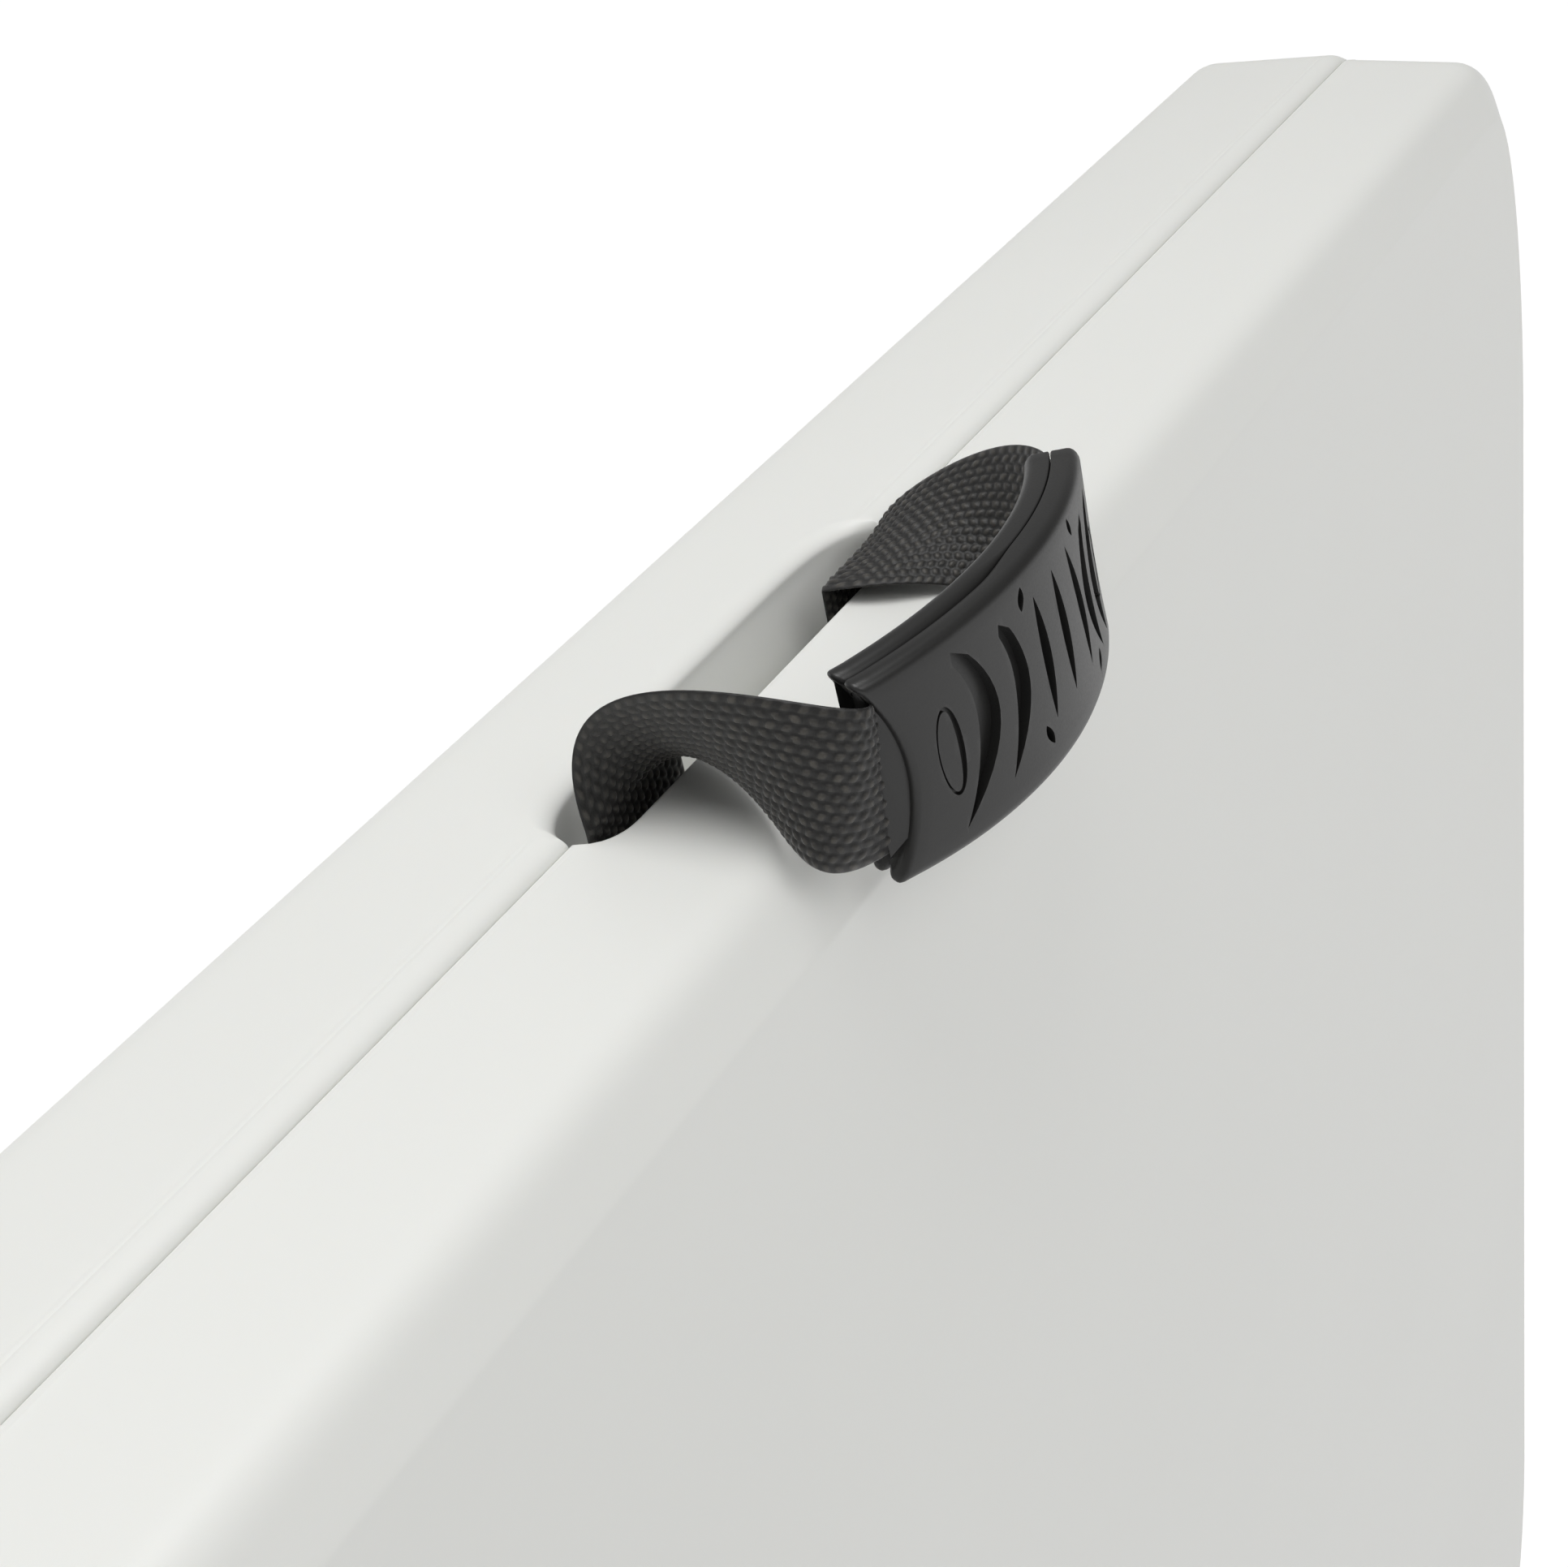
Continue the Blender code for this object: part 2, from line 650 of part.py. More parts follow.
def strap_run(side, handles):
    """Centre points and across directions of the webbing from its foot to the grip's mouth.

    Its two edges are smooth curves, each with a handle at the foot and one at the mouth: the outer edge
    climbs to be the upper one at the mouth, and the inner edge crosses low over the front shell.
    """
    half = WEBBING_WIDTH / 2
    foot = Vector((side * STRAP_X, STRAP_Y, SWING_Z))
    along = Vector((side * half, 0, 0))
    arc = side * (GRIP_ARC / 2 + 2.5 * MM)
    depth = (GRIP_FACE + GRIP_SPLIT) / 2
    starts = (foot + along, foot - along)
    ends = (grip_point(arc, half, depth), grip_point(arc, -half, depth))
    edges = []
    for start, end, (at_foot, at_mouth) in zip(starts, ends, handles):
        leave = start + Vector(at_foot) * MM
        arrive = end + Vector(at_mouth) * MM
        edges.append([bezier(start, leave, arrive, end, step / RUN_STEPS) for step in range(RUN_STEPS + 1)])
    path = [(outer + inner) / 2 for outer, inner in zip(*edges)]
    turns = [inner - outer for outer, inner in zip(*edges)]
    return path, turns


def make_handle(parent):
    half_arc = GRIP_ARC / 2
    half = GRIP_WIDTH / 2
    inner_half = half - GRIP_SIDE
    outer_section = (
        (half - 1 * MM, 0),
        (half, 1 * MM),
        (half, GRIP_SPLIT),
        (inner_half, GRIP_SPLIT),
        (inner_half, GRIP_FACE),
        (-inner_half, GRIP_FACE),
        (-inner_half, GRIP_SPLIT),
        (-half, GRIP_SPLIT),
        (-half, 1 * MM),
        (-half + 1 * MM, 0),
    )
    finish(grip_sweep("grip_outer", outer_section, half_arc), (BLACK, 0.4, 0), parent)
    split = GRIP_SPLIT + GAP
    inner_section = (
        (half - 0.5 * MM, split),
        (half - 0.5 * MM, GRIP_THICK - 1 * MM),
        (half - 1.5 * MM, GRIP_THICK),
        (-half + 1.5 * MM, GRIP_THICK),
        (-half + 0.5 * MM, GRIP_THICK - 1 * MM),
        (-half + 0.5 * MM, split),
    )
    finish(grip_sweep("grip_inner", inner_section, half_arc), (BLACK, 0.4, 0), parent)

    run, turns = strap_run(-1, LEFT_RUN)
    far_run, far_turns = strap_run(1, RIGHT_RUN)
    depth = (GRIP_FACE + GRIP_SPLIT) / 2
    reach = half_arc + 2.5 * MM
    inside = [grip_point(reach * (i / 6 - 1), 0, depth) for i in range(1, 12)]
    down = GRIP_TURN @ Vector((0, 0, -1))
    path = run + inside + far_run[::-1]
    widths = turns + [down] * len(inside) + far_turns[::-1]
    finish(ribbon("handle_strap", path, widths, WEBBING_WIDTH, WEBBING_THICK), (BLACK, 0.85, 0), parent)


def make_strap_feet():
    """The sewn loops that hold the webbing on its pins, inside the recess."""
    for side, word in ((-1, "left"), (1, "right")):
        x = side * STRAP_X
        half = WEBBING_WIDTH / 2
        top = SWING_Z - 3 * MM
        loop = turned(
            f"strap_foot_{word}",
            ((STRAP_PIN_RADIUS + WEBBING_THICK, -half), (STRAP_PIN_RADIUS + WEBBING_THICK, half)),
            along_axis((x, STRAP_Y, STRAP_PIN_Z), (1, 0, 0)),
            16,
        )
        tail = box(
            "tail",
            (x - half, STRAP_Y - WEBBING_THICK / 2, STRAP_PIN_Z + 1 * MM),
            (x + half, STRAP_Y + WEBBING_THICK / 2, top),
        )
        loop = join(loop, tail)
        bore = turned(
            "bore",
            ((STRAP_PIN_RADIUS + GAP / 2, -half - 1 * MM), (STRAP_PIN_RADIUS + GAP / 2, half + 1 * MM)),
            along_axis((x, STRAP_Y, STRAP_PIN_Z), (1, 0, 0)),
            16,
        )
        finish(cut(loop, bore), (BLACK, 0.85, 0))
        reach = half + 3.6 * MM
        pin = turned(
            f"strap_pin_{word}",
            ((STRAP_PIN_RADIUS - 0.3 * MM, -reach), (STRAP_PIN_RADIUS, 0.5 * MM - reach), (STRAP_PIN_RADIUS, reach)),
            along_axis((x, STRAP_Y, STRAP_PIN_Z), (1, 0, 0)),
            16,
        )
        finish(pin, (STEEL, 0.3, 1))


# --- blanket and what holds it ---------------------------------------------------------------------

def make_blanket():
    """The folded pack: a block with soft long edges."""
    low_y, high_y = BLANKET_Y
    middle = (low_y + high_y) / 2
    half_y = (high_y - low_y) / 2
    rings = []
    for x in (-BLANKET_HALF_X, -BLANKET_HALF_X + 4 * MM, BLANKET_HALF_X - 4 * MM, BLANKET_HALF_X):
        shrink = 4 * MM if abs(x) == BLANKET_HALF_X else 0
        ring = []
        for end, sign in ((BLANKET_Z[1], 1), (BLANKET_Z[0], -1)):
            for step in range(5):
                angle = math.pi * (step / 4 - 0.5)
                y = middle - sign * (half_y - shrink) * math.sin(angle)
                z = end - sign * shrink - sign * 14 * MM * (1 - math.cos(angle))
                ring.append(Vector((x, y, z)))
        rings.append(ring)
    return finish(loft("fire_blanket", rings), (GLASS_CLOTH, 0.8, 0))


def make_band(name, x):
    """A retaining band: over the pack's rear face and down both ends of it to the front panel."""
    out = BLANKET_Y[1] + 1 * MM
    back = SEAM_Y - FRONT_DEPTH + WALL + 1.2 * MM
    low, high = BLANKET_Z[0] - 5 * MM, BLANKET_Z[1] + 5 * MM
    corner = 6 * MM
    points = [
        Vector((x, back, high)),
        Vector((x, out - corner, high)),
        Vector((x, out, high - corner)),
        Vector((x, out, low + corner)),
        Vector((x, out - corner, low)),
        Vector((x, back, low)),
    ]
    across = [Vector((1, 0, 0))] * len(points)
    return finish(ribbon(name, points, across, 2 * BAND_HALF, BAND_THICK), (BLACK, 0.85, 0))


def make_anchor(name, x, end):
    """A footman loop that the band's end is riveted under, standing on the front panel."""
    z = BLANKET_Z[1] + 5 * MM if end > 0 else BLANKET_Z[0] - 5 * MM
    inner = z + end * (BAND_THICK / 2 + GAP)
    panel = SEAM_Y - FRONT_DEPTH + WALL + GAP
    low = (x - BAND_HALF, panel, min(inner, inner + end * 3 * MM))
    high = (x + BAND_HALF, panel + 12 * MM, max(inner, inner + end * 3 * MM))
    return finish(box(name, low, high), (STEEL, 0.4, 1))


def make_buckle(name, x):
    """A closed side-release buckle on the band, as one solid each for plug and socket."""
    y = BLANKET_Y[1] + 1 * MM + BAND_THICK / 2 + GAP
    z = CASE_MIDDLE
    socket = box(
        f"{name}_socket",
        (x - 23 * MM, y, z + 1 * MM),
        (x + 23 * MM, y + 8 * MM, z + 36 * MM),
    )
    slot = box(
        "slot",
        (x - 17 * MM, y + 2 * MM, z - 1 * MM),
        (x + 17 * MM, y + 6 * MM, z + 26 * MM),
    )
    finish(cut(socket, slot), (BLACK, 0.4, 0))
    plug = box(
        f"{name}_plug",
        (x - 23 * MM, y, z - 28 * MM),
        (x + 23 * MM, y + 8 * MM, z + 1 * MM - GAP),
    )
    tongue = box(
        "tongue",
        (x - 16 * MM, y + 2.5 * MM, z - 2 * MM),
        (x + 16 * MM, y + 5.5 * MM, z + 24 * MM),
    )
    return finish(join(plug, tongue), (BLACK, 0.4, 0))


def make_pull_tape(name, x):
    """A flat loop of red webbing that lies on the pack, for drawing the blanket out."""
    y = BLANKET_Y[1] + 0.9 * MM
    half, drop = 35 * MM, 120 * MM
    top = BLANKET_Z[1] - 25 * MM
    tape = 20 * MM
    points = [
        Vector((x - half, y, top)),
        Vector((x - half, y, top - drop)),
        Vector((x - half * 0.6, y, top - drop - 22 * MM)),
        Vector((x, y, top - drop - 30 * MM)),
        Vector((x + half * 0.6, y, top - drop - 22 * MM)),
        Vector((x + half, y, top - drop)),
        Vector((x + half, y, top)),
    ]
    rings = []
    for i, point in enumerate(points):
        ahead = points[min(i + 1, len(points) - 1)] - points[max(i - 1, 0)]
        out = Vector((0, 1, 0))
        across = ahead.cross(out).normalized() * tape / 2
        thick = out * 0.6 * MM
        rings.append([point + across + thick, point - across + thick, point - across - thick, point + across - thick])
    return finish(loft(name, rings), (RED, 0.8, 0))


def make_contents():
    make_blanket()
    for side, word in ((-1, "left"), (1, "right")):
        x = side * BAND_X
        make_band(f"retaining_band_{word}", x)
        make_anchor(f"band_anchor_upper_{word}", x, 1)
        make_anchor(f"band_anchor_lower_{word}", x, -1)
        make_buckle(f"band_buckle_{word}", x)
        make_pull_tape(f"pull_tape_{word}", side * 85 * MM)


# --- the whole object ------------------------------------------------------------------------------

def joint_empty(name, place):
    empty = bpy.data.objects.new(name, None)
    empty.location = place
    bpy.context.scene.collection.objects.link(empty)
    bpy.context.view_layer.update()
    return empty


def main():
    clear_scene()
    cover = joint_empty("cover_hinge_axis", (HINGE_X, SEAM_Y, CASE_MIDDLE))
    handle = joint_empty("handle_swing_axis", (0, STRAP_Y, SWING_Z))
    make_front_shell()
    make_rear_shell(cover)
    make_seal(cover)
    for side, word in ((-1, "left"), (1, "right")):
        make_foot(f"foot_front_{word}", side * 250 * MM, -22 * MM)
        make_foot(f"foot_rear_{word}", side * 250 * MM, 26 * MM, cover)
    make_hinges(cover)
    for place, level in LATCH_LEVELS.items():
        pivot = joint_empty(f"latch_{place}_axis", (LATCH_PIN.x, LATCH_PIN.y, level))
        make_latch_base(f"latch_base_{place}", level)
        make_latch_pin(f"latch_pin_{place}", level)
        make_latch_lever(f"latch_lever_{place}", level, pivot)
        make_keeper(f"latch_keeper_{place}", level, cover)
    make_strap_feet()
    make_handle(handle)
    make_contents()


main()
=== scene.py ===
"""Looks for the fire blanket's carry case: satin white shells, a woven handle with a moulded grip, and
the folded blanket inside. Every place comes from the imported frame, in metres, with +Z up."""

import math

import bmesh
import bpy
import numpy as np
from mathutils import Matrix, Vector


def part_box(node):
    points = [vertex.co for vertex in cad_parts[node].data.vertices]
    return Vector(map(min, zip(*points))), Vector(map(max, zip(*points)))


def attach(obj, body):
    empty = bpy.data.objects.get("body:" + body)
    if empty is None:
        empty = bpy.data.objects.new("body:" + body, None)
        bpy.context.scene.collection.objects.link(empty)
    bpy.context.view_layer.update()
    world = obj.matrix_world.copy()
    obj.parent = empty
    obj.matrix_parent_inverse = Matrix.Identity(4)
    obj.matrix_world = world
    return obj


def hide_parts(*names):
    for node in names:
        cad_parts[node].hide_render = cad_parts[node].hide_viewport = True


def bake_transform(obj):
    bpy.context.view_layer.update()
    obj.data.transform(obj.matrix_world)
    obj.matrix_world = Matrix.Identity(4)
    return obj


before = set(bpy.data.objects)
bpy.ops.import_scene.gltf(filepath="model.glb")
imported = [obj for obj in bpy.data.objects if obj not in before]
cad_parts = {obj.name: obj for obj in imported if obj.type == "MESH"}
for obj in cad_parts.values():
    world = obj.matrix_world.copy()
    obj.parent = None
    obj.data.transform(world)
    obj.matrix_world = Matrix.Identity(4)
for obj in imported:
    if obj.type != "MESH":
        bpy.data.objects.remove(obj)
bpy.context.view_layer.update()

MM = 0.001
FRONT = "front_shell_body"
COVER = "cover"
HANDLE = "handle"

# Places read from the frame
front_low, front_high = (Vector(corner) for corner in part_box("front_shell"))
rear_high = Vector(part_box("rear_shell")[1])
pin_low, pin_high = (Vector(corner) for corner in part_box("strap_pin_left"))
pack_low, pack_high = (Vector(corner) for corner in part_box("fire_blanket"))
HALF_GAP = 0.15 * MM
SEAM_Y = front_high.y + HALF_GAP
HALF_LENGTH = front_high.x
CASE_TOP = front_high.z
CASE_MIDDLE = (front_low.z + front_high.z) / 2
HALF_HEIGHT = (front_high.z - front_low.z) / 2
FRONT_DEPTH = SEAM_Y - front_low.y
REAR_DEPTH = rear_high.y - SEAM_Y

# Case shells
CORNER_ACROSS = 42 * MM
CORNER_UP = 112 * MM
CORNER_STEPS = 32
WALL = 3 * MM
FLANGE = 9 * MM
PANEL_INSET = 15.2 * MM
BEVEL_RUN = 6 * MM
FRONT_SLOPE = 0.035
REAR_SLOPE = 0.055
PROUD = 1.2 * MM
BEAD = 4.5 * MM
ROLL = 2.3 * MM
FLOOR_DROP = 31 * MM
RECESS_END = 51.5 * MM
RECESS_FADE = 4.5 * MM
NOTCH = 6.4 * MM
SCOOP = 9.5 * MM

# Carry handle
STRAP_Y = (pin_low.y + pin_high.y) / 2
STRAP_X = 37.5 * MM
PIN_Z = (pin_low.z + pin_high.z) / 2
WEB_WIDTH = 26.5 * MM
WEB_THICK = 1.9 * MM
WEB_RELIEF = 0.5 * MM
WEB_SPACING = 0.34 * MM
YARN_SLANT = 0.28
EDGE_THINNING = 0.75
WEB_RIBS = 16
WEB_PITCH = 2.1 * MM
WEB_DEPTH = 4.2 * MM
GRIP_RADIUS = 82 * MM
GRIP_ARC = 81 * MM
GRIP_HALF = 17.4 * MM
GRIP_BULGE = 1.0 * MM
GRIP_THICK = 9.2 * MM
GRIP_SPLIT = 4.6 * MM
MOUTH_HOLLOW = 6.5 * MM
END_CLEAR = 2.5 * MM
WEB_END = 4.5 * MM
GRIP_MIDDLE = Vector((-0.8 * MM, SEAM_Y - 59.4 * MM, CASE_TOP + 10.8 * MM))
GRIP_TURN = Matrix.Rotation(math.radians(-3), 3, "X")

# Handles of each webbing run's outer and inner edge, (at the foot, at the mouth), in millimetres
LEFT_RUN = (((6.9, 10.7, 40), (-15, -17.4, 0.4)), ((-0.4, -25.1, 3), (-35.9, 3.7, 5.6)))
RIGHT_RUN = (((-1.1, 6.8, 1.6), (33, 16.5, 0.8)), ((-1.2, -17.6, 5), (10, 26.5, 0.5)))

# Folded blanket
PACK_LAYERS_ACROSS = 6
PACK_LAYERS_UP = 8
CLOTH_THICK = 0.8 * MM


# --- materials -------------------------------------------------------------------------------------

class Look:
    """A Principled material and short ways to add nodes to it."""

    def __init__(self, name, colour, roughness, metallic=0.0):
        self.material = bpy.data.materials.new(name)
        self.material.use_nodes = True
        self.nodes = self.material.node_tree.nodes
        self.links = self.material.node_tree.links
        self.shader = self.nodes["Principled BSDF"]
        self.set("Base Color", (*colour, 1))
        self.set("Roughness", roughness)
        self.set("Metallic", metallic)
        self.colour = colour

    def set(self, socket, value):
        self.shader.inputs[socket].default_value = value

    def node(self, kind, **values):
        made = self.nodes.new(kind)
        for key, value in values.items():
            if key in made.inputs:
                made.inputs[key].default_value = value
            else:
                setattr(made, key, value)
        return made

    def link(self, out, into):
        self.links.new(out, into)

    def noise(self, scale, detail=2.0, stretch=(1, 1, 1)):
        place = self.node("ShaderNodeTexCoord")
        mapping = self.node("ShaderNodeMapping")
        mapping.inputs["Scale"].default_value = stretch
        self.link(place.outputs["Object"], mapping.inputs["Vector"])
        noise = self.node("ShaderNodeTexNoise", Scale=scale, Detail=detail)
        self.link(mapping.outputs["Vector"], noise.inputs["Vector"])
        return noise.outputs["Fac"]

    def mottle(self, factor, low, high):
        """Colour that varies between low and high times the base colour."""
        ramp = self.node("ShaderNodeMapRange")
        ramp.inputs["From Min"].default_value = 0.3
        ramp.inputs["From Max"].default_value = 0.7
        ramp.inputs["To Min"].default_value = low
        ramp.inputs["To Max"].default_value = high
        self.link(factor, ramp.inputs["Value"])
        scale = self.node("ShaderNodeVectorMath", operation="SCALE")
        scale.inputs[0].default_value = self.colour
        self.link(ramp.outputs["Result"], scale.inputs["Scale"])
        self.link(scale.outputs["Vector"], self.shader.inputs["Base Color"])

    def roughen(self, factor, low, high):
        ramp = self.node("ShaderNodeMapRange")
        ramp.inputs["To Min"].default_value = low
        ramp.inputs["To Max"].default_value = high
        self.link(factor, ramp.inputs["Value"])
        self.link(ramp.outputs["Result"], self.shader.inputs["Roughness"])

    def bump(self, height, strength, distance):
        bump = self.node("ShaderNodeBump", Strength=strength, Distance=distance)
        self.link(height, bump.inputs["Height"])
        self.link(bump.outputs["Normal"], self.shader.inputs["Normal"])


def white_plastic():
    look = Look("white_satin_plastic", (0.80, 0.805, 0.775), 0.42)
    look.set("Subsurface Weight", 0.04)
    look.set("Subsurface Radius", (0.004, 0.003, 0.002))
    look.set("Specular IOR Level", 0.4)
    look.mottle(look.noise(9, 3), 0.992, 1.006)
    grain = look.noise(1700, 2)
    look.roughen(grain, 0.36, 0.48)
    look.bump(grain, 0.10, 0.05 * MM)
    return look.material


def black_plastic(name, roughness):
    look = Look(name, (0.013, 0.0128, 0.0122), roughness)
    grain = look.noise(2600, 3)
    look.mottle(look.noise(60, 4), 0.9, 1.12)
    look.roughen(grain, roughness - 0.07, roughness + 0.08)
    look.bump(grain, 0.22, 0.05 * MM)
    return look.material


def steel():
    look = Look("plated_steel", (0.56, 0.56, 0.57), 0.32, 1.0)
    brushed = look.noise(900, 3, (1, 1, 0.03))
    look.mottle(look.noise(120, 3), 0.9, 1.06)
    look.roughen(brushed, 0.24, 0.42)
    look.bump(brushed, 0.12, 0.03 * MM)
    return look.material


def rubber():
    look = Look("black_rubber", (0.022, 0.022, 0.022), 0.72)
    look.mottle(look.noise(150, 4), 0.8, 1.3)
    look.bump(look.noise(1400, 3), 0.3, 0.08 * MM)
    return look.material


def webbing_look(name, dark, crown_highlight):
    """Woven tape: the mesh's own weave height picks out the crowns of the yarns, which get a painted
    highlight, mixed with random flecks.
    """
    look = Look(name, dark, 0.52)
    look.set("Sheen Weight", 0.25)
    look.set("Sheen Roughness", 0.4)
    height = look.node("ShaderNodeAttribute", attribute_name="weave")
    fleck = look.noise(420, 3)
    product = look.node("ShaderNodeMath", operation="MULTIPLY")
    look.link(height.outputs["Fac"], product.inputs[0])
    look.link(fleck, product.inputs[1])
    # Painted highlight: the ramp runs from the dark base colour between the yarns to a lighter colour on
    # their raised crowns, varied by random flecks.
    ramp = look.node("ShaderNodeValToRGB")
    ramp.color_ramp.elements[0].position = 0.18
    ramp.color_ramp.elements[0].color = (*dark, 1)
    ramp.color_ramp.elements[1].position = 0.62
    ramp.color_ramp.elements[1].color = (*crown_highlight, 1)
    look.link(product.outputs["Value"], ramp.inputs["Fac"])
    look.link(ramp.outputs["Color"], look.shader.inputs["Base Color"])
    look.bump(look.noise(5200, 2, (1, 1, 0.35)), 0.5, 0.08 * MM)
    return look.material


def glass_cloth():
    look = Look("glass_cloth", (0.60, 0.575, 0.50), 0.58)
    look.set("Sheen Weight", 0.1)
    look.mottle(look.noise(14, 5), 0.86, 1.08)
    place = look.node("ShaderNodeTexCoord")
    weave = look.node("ShaderNodeTexWave", Scale=260.0, bands_direction="X")
    cross = look.node("ShaderNodeTexWave", Scale=260.0, bands_direction="Z")
    look.link(place.outputs["Object"], weave.inputs["Vector"])
    look.link(place.outputs["Object"], cross.inputs["Vector"])
    both = look.node("ShaderNodeMath", operation="ADD")
    look.link(weave.outputs["Fac"], both.inputs[0])
    look.link(cross.outputs["Fac"], both.inputs[1])
    look.bump(both.outputs["Value"], 0.35, 0.12 * MM)
    return look.material


WHITE = white_plastic()
BLACK = black_plastic("black_satin_plastic", 0.42)
GRIP_BLACK = black_plastic("black_grip_plastic", 0.40)
STEEL = steel()
RUBBER = rubber()
# The second colour of each webbing is the painted highlight on its yarn crowns.
WEBBING = webbing_look("black_webbing", (0.006, 0.0056, 0.005), (0.055, 0.050, 0.042))
RED_TAPE = webbing_look("red_webbing", (0.22, 0.008, 0.008), (0.62, 0.05, 0.04))
CLOTH = glass_cloth()


# --- mesh helpers ----------------------------------------------------------------------------------

def new_object(name, vertices, faces):
    mesh = bpy.data.meshes.new(name)
    mesh.from_pydata([tuple(v) for v in vertices], [], faces)
    edit = bmesh.new()
    edit.from_mesh(mesh)
    bmesh.ops.remove_doubles(edit, verts=edit.verts, dist=1e-7)
    bmesh.ops.dissolve_degenerate(edit, edges=edit.edges, dist=1e-7)
    bmesh.ops.recalc_face_normals(edit, faces=edit.faces)
    edit.to_mesh(mesh)
    edit.free()
    obj = bpy.data.objects.new(name, mesh)
    bpy.context.scene.collection.objects.link(obj)
    return obj


def tube_faces(rows, count):
    """The quads between rows of count vertices, each row closed on itself."""
    faces = []
    for row in range(rows - 1):
        low, high = row * count, (row + 1) * count
        for i in range(count):
            j = (i + 1) % count
            faces.append((low + i, low + j, high + j, high + i))
    return faces


def lofted(name, rings, capped=True):
    count = len(rings[0])
    vertices = [point for ring in rings for point in ring]
    faces = tube_faces(len(rings), count)
    if capped:
        faces.append(tuple(range(count)))
        faces.append(tuple((len(rings) - 1) * count + i for i in range(count)))
    return new_object(name, vertices, faces)


def shade(obj, angle=35):
    obj.data.shade_smooth()
    obj.data.set_sharp_from_angle(angle=math.radians(angle))


def dress(obj, material, body, slot, *nodes):
    """Gives a new piece its material and its body, and hides the CAD nodes that it stands for."""
    obj.data.materials.clear()
    obj.data.materials.append(material)
    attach(obj, body)
    if nodes:
        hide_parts(*nodes)
    return obj


def apply_modifiers(obj):
    graph = bpy.context.evaluated_depsgraph_get()
    result = bpy.data.meshes.new_from_object(obj.evaluated_get(graph))
    obj.modifiers.clear()
    old = obj.data
    obj.data = result
    bpy.data.meshes.remove(old)


def cut(obj, cutter):
    modifier = obj.modifiers.new("Cut", "BOOLEAN")
    modifier.object = cutter
    modifier.operation = "DIFFERENCE"
    modifier.solver = "EXACT"
    apply_modifiers(obj)
    bpy.data.objects.remove(cutter)


def soften(obj, width, segments=2, angle=40):
    modifier = obj.modifiers.new("Soft edges", "BEVEL")
    modifier.width = width
    modifier.segments = segments
    modifier.limit_method = "ANGLE"
    modifier.angle_limit = math.radians(angle)
    modifier.use_clamp_overlap = True
    modifier.harden_normals = False


def smoothstep(t):
    t = min(max(t, 0.0), 1.0)
    return t * t * (3 - 2 * t)


def curve_corner(before, corner, after, length, steps):
    """Points of a soft curve that leaves the lines before-corner-after at length from the corner."""
    corner = Vector(corner)
    start = corner + (Vector(before) - corner).normalized() * length
    end = corner + (Vector(after) - corner).normalized() * length
    return [
        tuple(start * (1 - t) ** 2 + corner * 2 * t * (1 - t) + end * t ** 2)
        for t in (step / steps for step in range(steps + 1))
    ]


# --- case shells -----------------------------------------------------------------------------------

def shell_columns():
    """Where the columns of vertices stand: a corner's centre and direction, or a place on the top."""
    across = HALF_LENGTH - CORNER_ACROSS
    up = HALF_HEIGHT - CORNER_UP
    columns = []
    for corner, (sx, sz) in enumerate(((1, 1), (-1, 1), (-1, -1), (1, -1))):
        for step in range(CORNER_STEPS + 1):
            angle = math.pi / 2 * (corner + step / CORNER_STEPS)
            columns.append((sx * across, CASE_MIDDLE + sz * up, math.cos(angle), math.sin(angle)))
        if corner == 0:
            reach = RECESS_END + 10 * MM
            count = 104
            for step in range(count + 1):
                x = reach * (1 - 2 * step / count)
                columns.append((x, CASE_MIDDLE + up, 0, 1))
    return columns


def recess_share(column):
    """1 inside the recess at the top, 0 outside it, with a short blend past its ends."""
    x, _, across, up = column
    if across != 0 or up != 1:
        return 0.0
    return smoothstep((RECESS_END + RECESS_FADE - abs(x)) / RECESS_FADE)


def notch_at(x):
    """How far the front shell's edge is set forward: straight, with rounded ends."""
    corner = 9 * MM
    past = max(abs(x) - (RECESS_END - corner), 0) / corner
    return NOTCH * math.sqrt(max(1 - past ** 2, 0))


def scoop_at(x):
    """How far the finger scoop's edge is set back into the rear shell."""
    share = min(abs(x) / RECESS_END, 1)
    return SCOOP * math.sqrt(max(1 - share ** 6, 0))


def shell(name, rows, side, set_back, slope):
    """A shell from its rows of (depth, inset, depth share, inset in the recess, slide).

    In the recess a row's inset becomes the recess's own. Its depth becomes share times the edge's
    set-back, or where share is None its own depth + slide times the set-back, down the face's slope.
    """
    columns = shell_columns()
    count = len(columns)
    vertices = []
    for depth, inset, share, recess_inset, slide in rows:
        for column in columns:
            blend = recess_share(column)
            back = set_back(column[0]) if blend > 0 else 0.0
            row_inset = inset + (recess_inset - inset) * blend
            if share is None:
                row_depth = depth + slide * back
                row_inset += (row_depth - depth) * slope
            else:
                row_depth = depth + share * back
            x, z, across, up = column
            out_x = x + (CORNER_ACROSS - row_inset) * across
            out_z = z + (CORNER_UP - row_inset) * up
            vertices.append((out_x, SEAM_Y + side * row_depth, out_z))
    faces = tube_faces(len(rows), count)
    faces.append(tuple(range(count)))
    faces.append(tuple((len(rows) - 1) * count + i for i in range(count)))
    obj = new_object(name, vertices, faces)
    shade(obj, 32)
    return obj


def plain(depth, inset):
    return (depth, inset, None, inset, 0.0)


def sliding(depth, inset, still, relief=0.0):
    """A row of the top face that moves with the recess's edge, less and less with depth.

    Relief adds to the inset, but not round the recess.
    """
    slide = 1 - smoothstep((depth - still[0]) / (still[1] - still[0]))
    return (depth, inset + relief, None, inset, slide)


